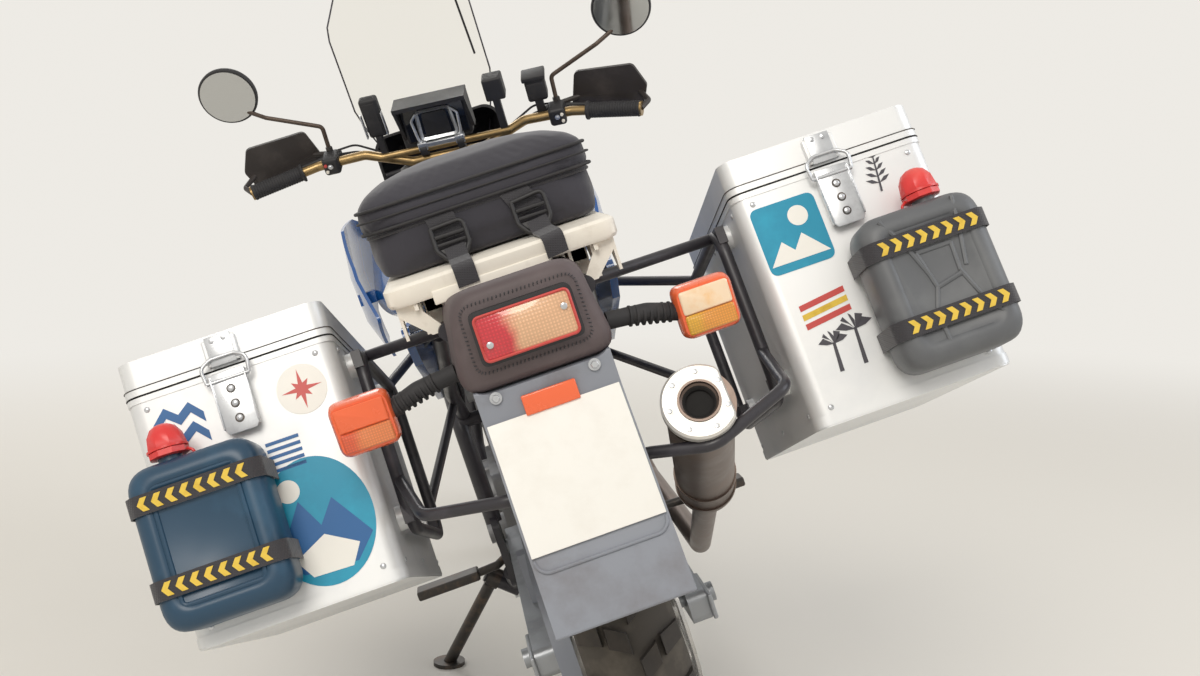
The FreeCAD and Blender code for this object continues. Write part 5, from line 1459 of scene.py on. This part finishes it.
# nodes that keep their CAD shape
finishes = {"frame": blackPowder, "rear_subframe": blackPowder, "engine": castAlloy,
    "radiator": blackPowder, "skid_plate": sheetAluminium, "swingarm": silverArm,
    "chain_guard": greyPlastic, "exhaust_header": heatSteel, "fuel_tank": blueEnamel,
    "body_panels": blueEnamel, "hand_guards": guardPlastic, "windscreen": clearScreen,
    "instrument_dash": blackPlastic, "foot_pegs": darkSteelAndShade, "pannier_racks": blackPowder,
    "side_stand": darkSteelAndShade, "front_fork": castAlloy, "handlebar": goldAnodised,
    "controls": blackPlastic, "bar_navigator": blackPlastic, "front_fender": blackPlastic}
for node, finish in finishes.items():
    smoothNode(node, finish)


def cowlFinished():
    # enamel outside, bare plastic on the faces that look back at the shell's own middle
    cowl = smoothNode("front_cowl", blueEnamel)
    cowl.data.materials.append(blackPlastic)
    middle = bike @ Vector((0, 1350, 1062))
    ahead = (bike.to_3x3() @ Vector((0, 1, 0))).normalized()
    for polygon in cowl.data.polygons:
        inward = polygon.normal.dot(polygon.center - middle) < 0
        if inward or polygon.normal.dot(ahead) < -0.6:
            polygon.material_index = 1


cowlFinished()
print("frame, drive and bodywork finished")


# Floor, light, camera

studio = {"floor": "#e4e0d8", "background": "#f2efe9", "shown": 0.96, "world": 0.6, "key": 175.0,
    "fill": 70.0, "fadeStart": 2.2, "fadeEnd": 5.6}
# the photograph's camera in the bike's frame
view = {"at": (-48.9, -1877.3, 1065.6), "yaw": 4.824, "pitch": -9.244, "roll": 18.22,
        "lens": 38.57, "sensor": 36.0}


def seenRays(tree):
    rays = addNode(tree, "ShaderNodeLightPath")
    direct = addNode(tree, "ShaderNodeMath", {"operation": "MAXIMUM"},
        {0: rays.outputs["Is Camera Ray"], 1: rays.outputs["Is Transmission Ray"]})
    return addNode(tree, "ShaderNodeMath", {"operation": "MAXIMUM"},
        {0: direct.outputs[0], 1: rays.outputs["Is Glossy Ray"]})


def fadingFloor():
    # Screed near the machine that runs out into the pale background, with no line at the horizon
    material = surface("paleSealedScreed", studio["floor"], 0.75, grain=3, depth=0.02, patch=600,
        wander=0.05)
    tree = material.node_tree
    shader = next(node for node in tree.nodes if node.type == "BSDF_PRINCIPLED")
    end = next(node for node in tree.nodes if node.type == "OUTPUT_MATERIAL")
    where = addNode(tree, "ShaderNodeTexCoord")
    reach = addNode(tree, "ShaderNodeVectorMath", {"operation": "LENGTH"},
        {0: where.outputs["Object"]})
    fade = addNode(tree, "ShaderNodeMapRange", {"interpolation_type": "SMOOTHSTEP"},
        {"Value": reach.outputs["Value"], "From Min": studio["fadeStart"],
        "From Max": studio["fadeEnd"]})
    share = addNode(tree, "ShaderNodeMath", {"operation": "MULTIPLY"},
        {0: fade.outputs[0], 1: seenRays(tree).outputs[0]})
    pale = addNode(tree, "ShaderNodeEmission", inputs={"Color": linear(studio["background"]),
        "Strength": studio["shown"]})
    mix = addNode(tree, "ShaderNodeMixShader", inputs={0: share.outputs[0], 1: shader.outputs[0],
        2: pale.outputs[0]})
    tree.links.new(mix.outputs[0], end.inputs["Surface"])
    return material


def floorAndWorld():
    disc = bmesh.new()
    bmesh.ops.create_circle(disc, cap_ends=True, segments=96, radius=30.0)
    mesh = meshFrom(disc, bpy.data.meshes.new("floor"))
    floor = newObject("floor", mesh)
    mesh.materials.append(fadingFloor())
    world = bpy.data.worlds.new("studio")
    bpy.context.scene.world = world
    world.use_nodes = True
    tree = world.node_tree
    tree.nodes.clear()
    lit = addNode(tree, "ShaderNodeBackground", inputs={"Color": linear("#f6f4f0"),
        "Strength": studio["world"]})
    shown = addNode(tree, "ShaderNodeBackground", inputs={"Color": linear(studio["background"]),
        "Strength": studio["shown"]})
    mix = addNode(tree, "ShaderNodeMixShader", inputs={0: seenRays(tree).outputs[0],
        1: lit.outputs[0], 2: shown.outputs[0]})
    addNode(tree, "ShaderNodeOutputWorld", inputs={"Surface": mix.outputs[0]})


def lamp(name, place, target, size, power, colour):
    light = bpy.data.lights.new(name, "AREA")
    light.shape = "DISK"
    light.size = size
    light.energy = power
    light.color = linear(colour)[:3]
    holder = newObject(name, light)
    holder.location = place
    holder.rotation_euler = (Vector(target) - Vector(place)).to_track_quat("-Z", "Y").to_euler()


def cameraFromPhotograph():
    yaw, pitch, roll = (radians(view[k]) for k in ("yaw", "pitch", "roll"))
    ahead = Vector((sin(yaw) * cos(pitch), cos(yaw) * cos(pitch), sin(pitch)))
    level = Vector((cos(yaw), -sin(yaw), 0))
    over = level.cross(ahead)
    right = level * cos(roll) - over * sin(roll)
    up = over * cos(roll) + level * sin(roll)
    turn = bike.to_3x3().normalized()
    axes = Matrix((turn @ right, turn @ up, turn @ -ahead)).transposed().to_4x4()
    camera = newObject("camera", bpy.data.cameras.new("camera"))
    camera.data.lens = view["lens"]
    camera.data.sensor_width = view["sensor"]
    camera.data.clip_start = 0.05
    camera.matrix_world = Matrix.Translation(bike @ Vector(view["at"])) @ axes
    bpy.context.scene.camera = camera


floorAndWorld()
lamp("keyLamp", (-1.6, -5.0, 4.4), (0, -0.4, 0.7), 3.0, studio["key"], "#fffaf2")
lamp("fillLamp", (4.4, -1.6, 3.4), (0, 0, 0.6), 3.0, studio["fill"], "#eef4ff")
lamp("frontLamp", (-1.5, 5.2, 4.4), (0, 0.4, 0.6), 3.2, studio["fill"] * 1.3, "#ffffff")
cameraFromPhotograph()
bpy.context.scene.view_settings.view_transform = "Standard"
print("studio made")
